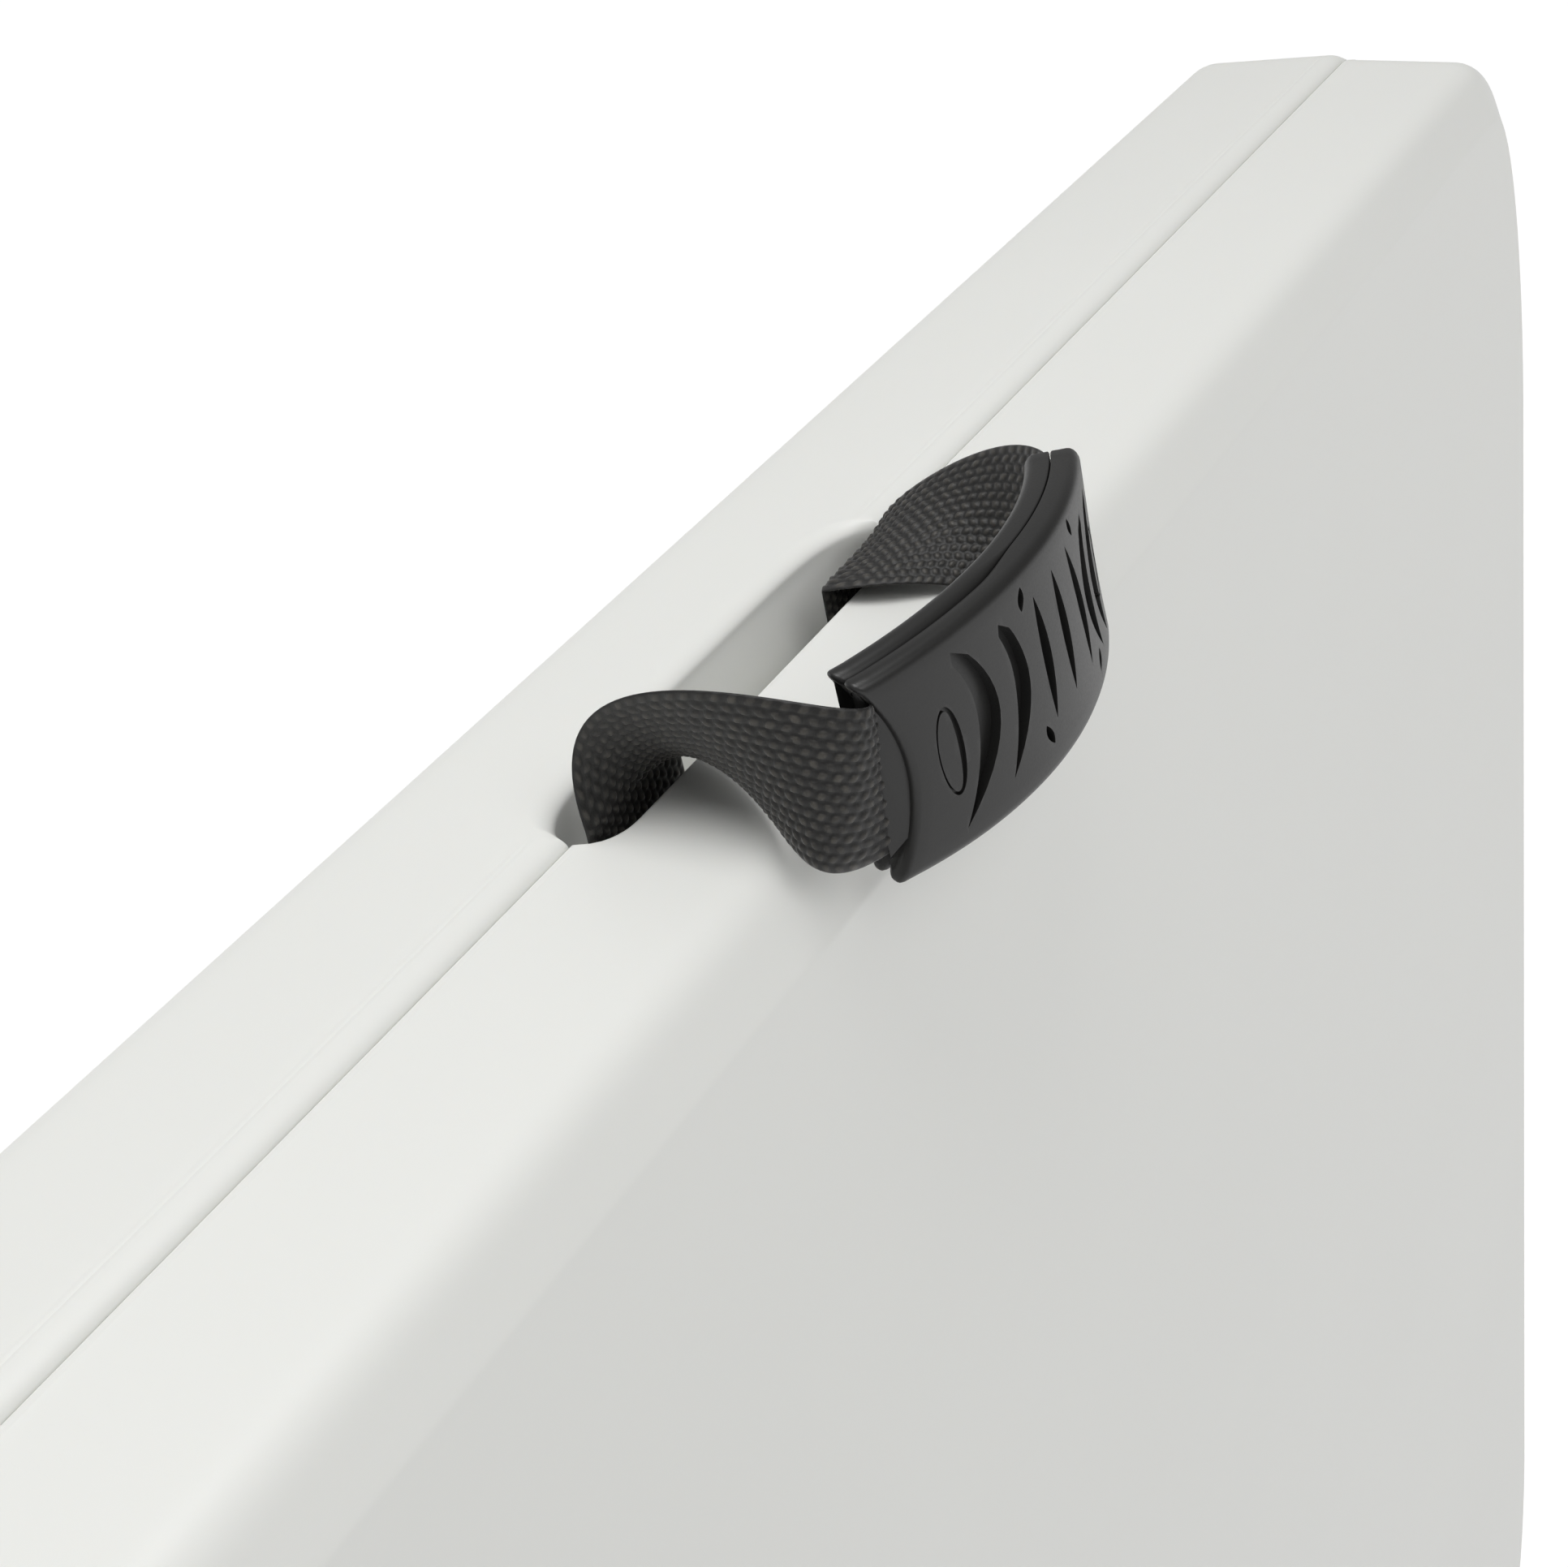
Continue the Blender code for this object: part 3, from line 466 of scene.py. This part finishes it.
def outer_rows(first, depth, slope_inset, still):
    """From the last rim row over the draft, the soft shoulder and the crisp crease to the flat panel."""
    shoulder_depth = depth - BEVEL_RUN
    shoulder = (shoulder_depth, slope_inset(shoulder_depth))
    crease = (depth, PANEL_INSET)
    inner = (depth, PANEL_INSET + 6 * MM)
    points = [(d * MM, slope_inset(d * MM)) for d in range(int(first / MM) + 2, int(depth / MM) - 14, 3)]
    points += curve_corner(points[-1], shoulder, crease, 6 * MM, 12)
    fillet_end = Vector(points[-1])
    crease_start = Vector(crease) + (Vector(shoulder) - Vector(crease)) * 0.12
    points += [tuple(fillet_end.lerp(crease_start, share)) for share in (0.06, 0.5, 0.94)]
    points += curve_corner(shoulder, crease, inner, 0.8 * MM, 4)
    points += [(depth, PANEL_INSET + offset * MM) for offset in (1.1, 3, 9)]
    return [sliding(d, i, still) for d, i in points]


def inner_rows(depth):
    """The inside of the panel and of the outer wall, up to the flange."""
    panel = depth - WALL
    wall_start = (depth - 9 * MM, 7 * MM)
    soft = curve_corner((panel, 60 * MM), (panel, 18 * MM), wall_start, 5 * MM, 4)
    return [plain(panel, 40 * MM)] + [plain(d, i) for d, i in soft] + [plain(*wall_start)]


def make_front():
    edge = 1.0 * MM
    still = (3 * MM, 24 * MM)
    rows = inner_rows(FRONT_DEPTH)
    rows += [
        (HALF_GAP + WALL, 5.7 * MM, 1.0, 5.7 * MM, 0),
        (HALF_GAP + WALL, FLANGE, 1.0, FLOOR_DROP + 2.5 * MM, 0),
        (HALF_GAP, FLANGE, 0.0, FLOOR_DROP + 2.5 * MM, 0),
        (HALF_GAP, FLANGE - 0.1 * MM, 0.0, FLOOR_DROP, 0),
        (HALF_GAP, FLANGE - 0.2 * MM, 0.8, FLOOR_DROP, 0),
        (HALF_GAP, FLANGE - 0.3 * MM, 1.0, FLOOR_DROP - 2 * MM, 0),
        (HALF_GAP, 5.5 * MM, 1.0, 12 * MM, 0),
        (HALF_GAP, 2.2 * MM, 1.0, 2.2 * MM, 0),
    ]
    for step in range(6):
        angle = math.pi / 2 * step / 5
        depth = HALF_GAP + edge * (1 - math.cos(angle))
        rows.append(sliding(depth, edge * (1 - math.sin(angle)), still))
    for depth, rise in ((1.6, 0.0), (1.85, 0.09), (2.15, 0.09), (2.4, 0.0)):
        rows.append(sliding(depth * MM, FRONT_SLOPE * depth * MM, still, -rise * MM))
    rows += outer_rows(2.4 * MM, FRONT_DEPTH, lambda d: FRONT_SLOPE * d, still)
    obj = shell("case_front", rows, -1, notch_at, FRONT_SLOPE)
    dress(obj, WHITE, FRONT, "white_shell", "front_shell")


def make_rear():
    rows = inner_rows(REAR_DEPTH)
    rows += [
        (HALF_GAP + WALL, 5.7 * MM, 1.0, 5.7 * MM, 0),
        (HALF_GAP + WALL, FLANGE, 0.7, FLOOR_DROP + 2.5 * MM, 0),
        (HALF_GAP, FLANGE, 0.0, FLOOR_DROP + 2.5 * MM, 0),
        (HALF_GAP, FLANGE - 0.10 * MM, 0.0, FLOOR_DROP, 0),
        (HALF_GAP, FLANGE - 0.20 * MM, 0.40, FLOOR_DROP - 0.3 * MM, 0),
        (HALF_GAP, FLANGE - 0.30 * MM, 0.52, FLOOR_DROP - 2 * MM, 0),
        (HALF_GAP, FLANGE - 0.40 * MM, 0.58, FLOOR_DROP - 8 * MM, 0),
        (HALF_GAP, FLANGE - 0.50 * MM, 0.63, FLOOR_DROP - 15 * MM, 0),
        (HALF_GAP, 8.2 * MM, 0.70, 11.5 * MM, 0),
        (HALF_GAP + 1.8 * MM, 8.2 * MM, 0.60, 8.2 * MM, 0),
        (HALF_GAP + 1.8 * MM, 4.3 * MM, 0.68, 5.4 * MM, 0),
        (HALF_GAP, 4.3 * MM, 0.95, 3.2 * MM, 0),
    ]
    still = (8 * MM, 33 * MM)
    for step in range(10):
        angle = math.pi / 2 * step / 9
        depth = HALF_GAP + BEAD * (1 - math.cos(angle))
        rows.append(sliding(depth, ROLL * (1 - math.sin(angle)) - PROUD, still))
    for depth, dip in ((5.2, 0.0), (5.5, 0.10), (5.8, 0.0), (6.5, 0.0), (6.8, 0.08), (7.1, 0.0)):
        rows.append(sliding(depth * MM, rear_inset(depth * MM), still, dip * MM))
    rows += outer_rows(7.1 * MM, REAR_DEPTH, rear_inset, still)
    obj = shell("case_rear", rows, 1, scoop_at, REAR_SLOPE)
    dress(obj, WHITE, COVER, "white_shell", "rear_shell")


def rear_inset(depth):
    return REAR_SLOPE * max(depth - BEAD, 0) - PROUD


# --- webbing ---------------------------------------------------------------------------------------

def resampled(edge_a, edge_b, spacing):
    """Both edges of a strap, as arrays, at even steps along its middle."""
    a, b = np.array([tuple(p) for p in edge_a]), np.array([tuple(p) for p in edge_b])
    middle = (a + b) / 2
    along = np.concatenate([[0], np.cumsum(np.linalg.norm(np.diff(middle, axis=0), axis=1))])
    count = max(int(along[-1] / spacing), 2)
    places = np.linspace(0, along[-1], count + 1)
    pick = [np.stack([np.interp(places, along, edge[:, k]) for k in range(3)], 1) for edge in (a, b)]
    return pick[0], pick[1], places


def yarns(share, places, ribs, pitch):
    """Each column's height on its rib, and how far its yarn is in front, from -1 to 1, at each place."""
    rib = np.minimum((share * ribs).astype(int), ribs - 1)
    crown = np.sin(np.pi * (share * ribs - rib)) ** 0.6
    alternate = rib % 2
    slant = YARN_SLANT * (1 - 2 * alternate) * (share * ribs - rib - 0.5)
    turns = places[:, None] / pitch + (0.5 * alternate + slant)[None, :]
    return crown, np.tanh(2 * np.sin(2 * np.pi * turns))


def strap_mesh(name, rings, weave):
    """The closed mesh through the rings, with the weave's height kept at every vertex."""
    rows, count = rings.shape[:2]
    index = np.arange(rows * count).reshape(rows, count)
    following = np.roll(index, -1, axis=1)
    quads = np.stack([index[:-1], following[:-1], following[1:], index[1:]], axis=-1).reshape(-1, 4)
    faces = [tuple(q) for q in quads.tolist()]
    faces += [tuple(index[0].tolist()), tuple(index[-1].tolist()[::-1])]
    mesh = bpy.data.meshes.new(name)
    mesh.from_pydata(rings.reshape(-1, 3).tolist(), [], faces)
    # The weave height also places the painted highlight on the yarn crowns in the webbing material.
    attribute = mesh.attributes.new("weave", "FLOAT", "POINT")
    attribute.data.foreach_set("value", weave.reshape(-1).astype(np.float32))
    mesh.update()
    if volume_of(mesh) < 0:
        mesh.flip_normals()
    mesh.shade_smooth()
    return mesh


def woven(name, edge_a, edge_b, thick, ribs, pitch, spacing, per_rib=5, relief=0.3 * MM):
    """A woven strap between two edges, closed, with its yarns' crowns raised on both faces."""
    a, b, places = resampled(edge_a, edge_b, spacing)
    across = b - a
    ahead = np.gradient((a + b) / 2, axis=0)
    out = np.cross(ahead, across)
    out /= np.linalg.norm(out, axis=1)[:, None]
    share = np.linspace(0, 1, ribs * per_rib + 1)
    edge = 1 - EDGE_THINNING * np.abs(2 * share - 1) ** 10
    crown, wave = yarns(share, places, ribs, pitch)
    vertices, heights = [], []
    for face in (1, -1):
        lift = 0.5 + 0.5 * face * wave
        weave = crown[None, :] * (0.15 + 0.85 * lift)
        depth = (thick / 2 - relief) * edge[None, :] + relief * weave * edge[None, :]
        flat = a[:, None, :] + across[:, None, :] * share[None, :, None]
        points = flat + face * out[:, None, :] * depth[:, :, None]
        vertices.append(points if face > 0 else points[:, ::-1])
        heights.append(weave if face > 0 else weave[:, ::-1])
    mesh = strap_mesh(name, np.concatenate(vertices, axis=1), np.concatenate(heights, axis=1))
    obj = bpy.data.objects.new(name, mesh)
    bpy.context.scene.collection.objects.link(obj)
    return obj


def volume_of(mesh):
    edit = bmesh.new()
    edit.from_mesh(mesh)
    volume = edit.calc_volume(signed=True)
    edit.free()
    return volume


def bezier(a, b, c, d, t):
    u = 1 - t
    return a * u ** 3 + b * 3 * t * u ** 2 + c * 3 * t ** 2 * u + d * t ** 3


# --- carry handle ----------------------------------------------------------------------------------

def grip_point(arc, across, depth):
    """A point of the grip: arc along its curved face, across it (up), and depth in from that face."""
    angle = arc / GRIP_RADIUS
    reach = GRIP_RADIUS - depth
    place = Vector((reach * math.sin(angle), GRIP_RADIUS - reach * math.cos(angle), across))
    return GRIP_MIDDLE + GRIP_TURN @ place


def strap_run(side, handles):
    """Points of one run's outer and inner edges, from its sewn foot to inside the grip's mouth."""
    half = WEB_WIDTH / 2
    arc = side * (GRIP_ARC / 2 - WEB_END)
    foot = Vector((side * STRAP_X, STRAP_Y + 0.6 * MM, CASE_TOP + 2 * MM))
    ends = (grip_point(arc, half, WEB_DEPTH), grip_point(arc, -half, WEB_DEPTH))
    edges = []
    for across, end, (at_foot, at_mouth) in zip((side * half, -side * half), ends, handles):
        start = foot + Vector((across, 0, 0))
        low = PIN_Z - 2 * MM
        points = [Vector((start.x, start.y, low + (start.z - low) * step / 12)) for step in range(12)]
        leave, arrive = start + Vector(at_foot) * MM, end + Vector(at_mouth) * MM
        points += [bezier(start, leave, arrive, end, step / 48) for step in range(49)]
        edges.append(points)
    return edges


def strap_edges():
    """The webbing's outer and inner edges, from the left foot round through the grip to the right."""
    half = WEB_WIDTH / 2
    left_outer, left_inner = strap_run(-1, LEFT_RUN)
    right_outer, right_inner = strap_run(1, RIGHT_RUN)
    arcs = [(GRIP_ARC / 2 - WEB_END) * (step / 15 - 1) for step in range(1, 30)]
    outer = left_outer + [grip_point(arc, half, WEB_DEPTH) for arc in arcs] + right_outer[::-1]
    inner = left_inner + [grip_point(arc, -half, WEB_DEPTH) for arc in arcs] + right_inner[::-1]
    return outer, inner


def make_webbing():
    edge_a, edge_b = strap_edges()
    obj = woven(
        "carry_webbing", edge_a, edge_b, WEB_THICK, WEB_RIBS, WEB_PITCH, WEB_SPACING, relief=WEB_RELIEF
    )
    obj.data.materials.append(WEBBING)
    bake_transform(obj)
    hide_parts("handle_strap", "strap_foot_left", "strap_foot_right")


def rounded_section(half, near, far, near_radius, far_radius, inset):
    """A closed rounded outline of (across, depth), moved in by inset, with points on its long sides."""
    half, near, far = half - inset, near + inset, far - inset
    corners = (
        (half, near, near_radius, 0),
        (half, far, far_radius, 1),
        (-half, far, far_radius, 2),
        (-half, near, near_radius, 3),
    )
    steps = 5
    along = [1 - 2 * step / 16 for step in range(1, 16)]
    points = []
    for across, depth, radius, quarter in corners:
        radius = max(radius - inset, 0.15 * MM)
        sign_a = 1 if across > 0 else -1
        sign_d = 1 if quarter in (1, 2) else -1
        centre = (across - sign_a * radius, depth - sign_d * radius)
        for step in range(steps + 1):
            turn = math.pi / 2 * (step / steps)
            if quarter in (0, 2):
                turn = math.pi / 2 - turn
            across_out = sign_a * radius * math.cos(turn)
            depth_out = sign_d * radius * math.sin(turn)
            points.append((centre[0] + across_out, centre[1] + depth_out))
        if quarter == 1:
            points += [(share * (half - far_radius), far) for share in along]
    return points + [(-share * (half - near_radius), near) for share in along]


def grip_body(name, near, far, near_radius, far_radius):
    """A moulding of the grip, swept along its arch, with hollow mouth edges and rounded ends."""
    end_round = 1.3 * MM
    stations = []
    for step in range(5):
        turn = math.pi / 2 * step / 4
        stations.append((end_round * (1 - math.sin(turn)), end_round * (1 - math.cos(turn))))
    ends = [(back, inset) for back, inset in reversed(stations)]
    middle_steps = 56
    plan = [(-1, back, inset) for back, inset in ends]
    plan += [(-1 + 2 * step / middle_steps, None, 0.0) for step in range(1, middle_steps)]
    plan += [(1, back, inset) for back, inset in stations]
    rings = []
    for share, back, inset in plan:
        ring = []
        near_r, far_r = near_radius(share), far_radius(share)
        half = GRIP_HALF + GRIP_BULGE * (1 - share ** 2)
        for across, depth in rounded_section(half, near, far, near_r, far_r, inset):
            hollow = MOUTH_HOLLOW * (1 - min(abs(across) / GRIP_HALF, 1) ** 2)
            end = GRIP_ARC / 2 - hollow
            if back is None:
                arc = share * (end - END_CLEAR)
            else:
                arc = share * (end - back)
            ring.append(grip_point(arc, across, depth))
        rings.append(ring)
    return lofted(name, rings)


def prism(name, outline, near, far):
    """A cutter: a closed outline of (arc, across) on the grip's face, from depth near to depth far."""
    layers = [[grip_point(arc, across, depth) for arc, across in outline] for depth in (near, far)]
    return lofted(name, layers)


def crescent(top, middle, bottom, width, top_width=0.0):
    """A curved slot between (arc, across) ends; middle is its arc at half height. All in millimetres."""
    left, right = [], []
    steps = 14
    for step in range(steps + 1):
        t = 1 - 2 * step / steps
        arc = middle + (top[0] - bottom[0]) / 2 * t + ((top[0] + bottom[0]) / 2 - middle) * t ** 2
        across = (top[1] + bottom[1]) / 2 + (top[1] - bottom[1]) / 2 * t
        at_top = max(t, 0) ** 3 * math.sqrt(max(1 - t ** 12, 0))
        swell = 0.06 + width / 2 * (1 - t ** 2) + top_width / 2 * at_top
        left.append(((arc - swell) * MM, across * MM))
        right.append(((arc + swell) * MM, across * MM))
    return left + right[::-1]


GRIP_SLOTS = (
    crescent((-22.6, 14.3), -17.4, (-26.2, -14.2), 5.0, 3.6),
    crescent((-11.6, 12.9), -8.4, (-14.6, -12.2), 3.9, 3.0),
    crescent((-4.6, 15.4), -4.9, (-5.2, 11.6), 1.6),
    crescent((-4.4, -9.2), -3.7, (-2.9, -13.2), 1.7),
    crescent((-1.4, 12.0), -0.3, (-0.7, -9.8), 2.6),
    crescent((5.8, 12.6), 7.3, (7.4, -9.6), 2.6),
    crescent((12.6, 12.9), 15.6, (16.3, -10.2), 2.6),
    crescent((15.6, 16.2), 16.2, (17.0, 12.6), 1.3),
    crescent((21.6, -10.6), 21.4, (20.6, -14.4), 1.7),
    crescent((23.6, 12.9), 20.6, (25.6, -12.2), 3.7, 2.8),
    crescent((31.2, 13.6), 26.9, (33.2, -13.6), 4.2, 3.2),
)


def oval_ring(arc, across, half_arc, half_across, name):
    """A cutter for a shallow oval groove, wider on its inner side."""
    steps = 40
    rings = []
    for step in range(steps):
        turn = 2 * math.pi * step / steps
        groove = (0.25 + 0.9 * (0.5 + 0.5 * math.cos(turn))) * MM
        c, s = math.cos(turn), math.sin(turn)
        outer = (arc + half_arc * c, across + half_across * s)
        inner = (arc + (half_arc - groove) * c, across + (half_across - groove) * s)
        rings.append([
            grip_point(*outer, -1 * MM), grip_point(*inner, -1 * MM),
            grip_point(*inner, 0.7 * MM), grip_point(*outer, 0.7 * MM),
        ])
    rings.append(rings[0])
    return lofted(name, rings, capped=False)


def channel_cutter():
    half = WEB_WIDTH / 2 + 0.6 * MM
    rings = []
    for step in range(31):
        arc = 48 * MM * (2 * step / 30 - 1)
        section = rounded_section(half, 2.5 * MM, GRIP_SPLIT + 1.2 * MM, 0.9 * MM, 0.9 * MM, 0)
        rings.append([grip_point(arc, across, depth) for across, depth in section])
    return lofted("channel", rings)


def make_grip():
    def side_radius(share):
        return (2.0 - 1.7 * smoothstep((share + 0.25) / 0.35)) * MM

    face = grip_body("grip_face", 0.0, GRIP_SPLIT, lambda s: 1.9 * MM, side_radius)
    cut(face, channel_cutter())
    for outline in GRIP_SLOTS:
        cut(face, prism("slot", outline, -1 * MM, 1.9 * MM))
    cut(face, oval_ring(-26.2 * MM, -0.6 * MM, 2.6 * MM, 7.6 * MM, "ring"))
    cut(face, oval_ring(30.5 * MM, 0.6 * MM, 2.0 * MM, 6.5 * MM, "ring"))
    back = grip_body("grip_back", GRIP_SPLIT + 0.15 * MM, GRIP_THICK, side_radius, lambda s: 2.0 * MM)
    cut(back, channel_cutter())
    for obj, node in ((face, "grip_outer"), (back, "grip_inner")):
        soften(obj, 0.28 * MM, 2, 50)
        apply_modifiers(obj)
        shade(obj, 40)
        dress(obj, GRIP_BLACK, HANDLE, "black_plastic", node)


# --- folded blanket and what holds it ---------------------------------------------------------------

def serpentine(layers, length, pitch, straight_steps, turn_steps):
    """Points (along, across stack) of a strip folded back and forth between -length/2 and length/2."""
    radius = pitch / 2
    points = []
    for layer in range(layers):
        way = 1 if layer % 2 == 0 else -1
        level = (layer - (layers - 1) / 2) * pitch
        reach = length / 2 - radius
        for step in range(straight_steps + 1):
            points.append((way * reach * (2 * step / straight_steps - 1), level))
        if layer == layers - 1:
            break
        for step in range(1, turn_steps):
            turn = math.pi * step / turn_steps
            along = way * (reach + radius * math.sin(turn))
            points.append((along, level + radius * (1 - math.cos(turn))))
    return points


def make_blanket():
    """One sheet, folded back and forth across its width and then along its length."""
    size = pack_high - pack_low
    centre = (pack_low + pack_high) / 2
    big_pitch = size.y / (PACK_LAYERS_UP + 0.15)
    small_pitch = (big_pitch - CLOTH_THICK * 1.3) / PACK_LAYERS_ACROSS
    across = serpentine(PACK_LAYERS_ACROSS, size.x - 4 * MM, small_pitch, 6, 6)
    upward = serpentine(PACK_LAYERS_UP, size.z - 4 * MM, big_pitch, 10, 12)
    path = np.array(upward)
    ahead = np.gradient(path, axis=0)
    ahead /= np.linalg.norm(ahead, axis=1)[:, None]
    vertices = []
    for (z, y), (dz, dy) in zip(path, ahead):
        for x, lift in across:
            sag = 0.5 * MM * math.sin(x * 23 + z * 31) * math.sin(z * 17 + y * 90)
            vertices.append((centre.x + x, centre.y + y + dz * lift + sag, centre.z + z - dy * lift))
    count = len(across)
    faces = []
    for row in range(len(path) - 1):
        low, high = row * count, (row + 1) * count
        for i in range(count - 1):
            faces.append((low + i, low + i + 1, high + i + 1, high + i))
    obj = new_object("folded_blanket", vertices, faces)
    obj.data.shade_smooth()
    modifier = obj.modifiers.new("Cloth", "SOLIDIFY")
    modifier.thickness = CLOTH_THICK * 0.6
    modifier.offset = 0
    dress(obj, CLOTH, FRONT, "glass_cloth", "fire_blanket")


def rounded_path(corners, radius, steps=6):
    """A path through corner points with each inner corner rounded."""
    points = [corners[0]]
    for before, corner, after in zip(corners, corners[1:], corners[2:]):
        points += [Vector(p) for p in curve_corner(before, corner, after, radius, steps)]
    return points + [corners[-1]]


def make_bands():
    for word in ("left", "right"):
        node = f"retaining_band_{word}"
        low, high = (Vector(corner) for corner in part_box(node))
        half = 0.9 * MM
        corners = [
            Vector((low.x, low.y, high.z - half)),
            Vector((low.x, high.y - half, high.z - half)),
            Vector((low.x, high.y - half, low.z + half)),
            Vector((low.x, low.y, low.z + half)),
        ]
        edge_a = rounded_path(corners, 8 * MM)
        edge_b = [p + Vector((high.x - low.x, 0, 0)) for p in edge_a]
        obj = woven(f"woven_band_{word}", edge_a, edge_b, 1.7 * MM, 12, 5 * MM, 1.1 * MM, 4)
        dress(obj, WEBBING, FRONT, "black_webbing", node)


def make_pull_tapes():
    for word in ("left", "right"):
        node = f"pull_tape_{word}"
        low, high = (Vector(corner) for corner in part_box(node))
        y = (low.y + high.y) / 2
        tape = 20 * MM
        bend = (high.x - low.x) / 2
        outer, inner = [Vector((low.x, y, high.z))], [Vector((low.x + tape, y, high.z))]
        middle = (low.x + high.x) / 2
        for step in range(25):
            turn = math.pi * (1 + step / 24)
            away = Vector((math.cos(turn), 0, math.sin(turn)))
            centre = Vector((middle, y, low.z + bend))
            outer.append(centre + away * bend)
            inner.append(centre + away * (bend - tape))
        outer.append(Vector((high.x, y, high.z)))
        inner.append(Vector((high.x - tape, y, high.z)))
        obj = woven(f"red_pull_tape_{word}", outer, inner, 1.2 * MM, 10, 3 * MM, 0.8 * MM, 4, 0.2 * MM)
        dress(obj, RED_TAPE, FRONT, "red_webbing", node)


# --- CAD nodes that stay ----------------------------------------------------------------------------

STAYING = (
    ("hinge_", STEEL, 0.35),
    ("latch_pin", STEEL, 0.2),
    ("latch_", BLACK, 0.5),
    ("strap_pin", STEEL, 0.2),
    ("band_anchor", STEEL, 0.4),
    ("band_buckle", BLACK, 1.2),
    ("foot_", RUBBER, 0.5),
    ("rim_seal", RUBBER, 0.2),
)


def dress_cad_nodes():
    for name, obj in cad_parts.items():
        for start, material, bevel in STAYING:
            if name.startswith(start):
                obj.data.materials.clear()
                obj.data.materials.append(material)
                soften(obj, bevel * MM, 3, 35)
                break


# --- stage, light and camera ------------------------------------------------------------------------

def make_stage():
    size = 20.0
    floor = new_object(
        "floor",
        [(-size, -size, 0), (size, -size, 0), (size, size, 0), (-size, size, 0)],
        [(0, 1, 2, 3)],
    )
    look = Look("pale_floor", (0.12, 0.12, 0.12), 0.9)
    look.set("Emission Color", (1, 1, 1, 1))
    look.set("Emission Strength", 0.96)
    floor.data.materials.append(look.material)


def make_world():
    world = bpy.data.worlds.new("studio")
    world.use_nodes = True
    bpy.context.scene.world = world
    nodes, links = world.node_tree.nodes, world.node_tree.links
    place = nodes.new("ShaderNodeTexCoord")
    split = nodes.new("ShaderNodeSeparateXYZ")
    ramp = nodes.new("ShaderNodeMapRange")
    ramp.inputs["From Min"].default_value = -0.7
    ramp.inputs["From Max"].default_value = 0.4
    ramp.inputs["To Min"].default_value = 0.16
    ramp.inputs["To Max"].default_value = 0.36
    links.new(place.outputs["Generated"], split.inputs["Vector"])
    links.new(split.outputs["Y"], ramp.inputs["Value"])
    links.new(ramp.outputs["Result"], nodes["Background"].inputs["Strength"])
    nodes["Background"].inputs["Color"].default_value = (1.0, 1.0, 1.0, 1)


def area_light(name, place, target, size, power):
    data = bpy.data.lights.new(name, "AREA")
    data.shape = "DISK"
    data.size = size
    data.energy = power
    obj = bpy.data.objects.new(name, data)
    obj.location = place
    aim = Vector(target) - Vector(place)
    obj.rotation_euler = aim.to_track_quat("-Z", "Y").to_euler()
    bpy.context.scene.collection.objects.link(obj)


def make_lights():
    middle = Vector((0, 0, CASE_TOP))
    area_light("overhead", (-0.3, 0.1, 2.9), middle, 1.6, 35)
    area_light("front", (-0.5, -1.5, 2.2), middle, 1.2, 10)


def make_camera():
    """The camera stands near the left end, above the seam, rolled so that its right side tips down."""
    ridge = Vector((0, SEAM_Y, CASE_TOP))
    place = ridge + Vector((-0.2666, -0.2033, 0.1907))
    right = Vector((0.4947, -0.8509, -0.1765)).normalized()
    up = Vector((0.5481, 0.1479, 0.8232))
    back = right.cross(up).normalized()
    up = back.cross(right)
    data = bpy.data.cameras.new("camera")
    data.sensor_width = 36
    data.lens = 52.17
    data.clip_start = 0.01
    obj = bpy.data.objects.new("camera", data)
    turn = Matrix((right, up, back)).transposed().to_4x4()
    obj.matrix_world = Matrix.Translation(place) @ turn
    bpy.context.scene.collection.objects.link(obj)
    bpy.context.scene.camera = obj
    bpy.context.scene.view_settings.view_transform = "Standard"


make_front()
make_rear()
make_webbing()
make_grip()
make_blanket()
make_bands()
make_pull_tapes()
dress_cad_nodes()
make_stage()
make_world()
make_lights()
make_camera()
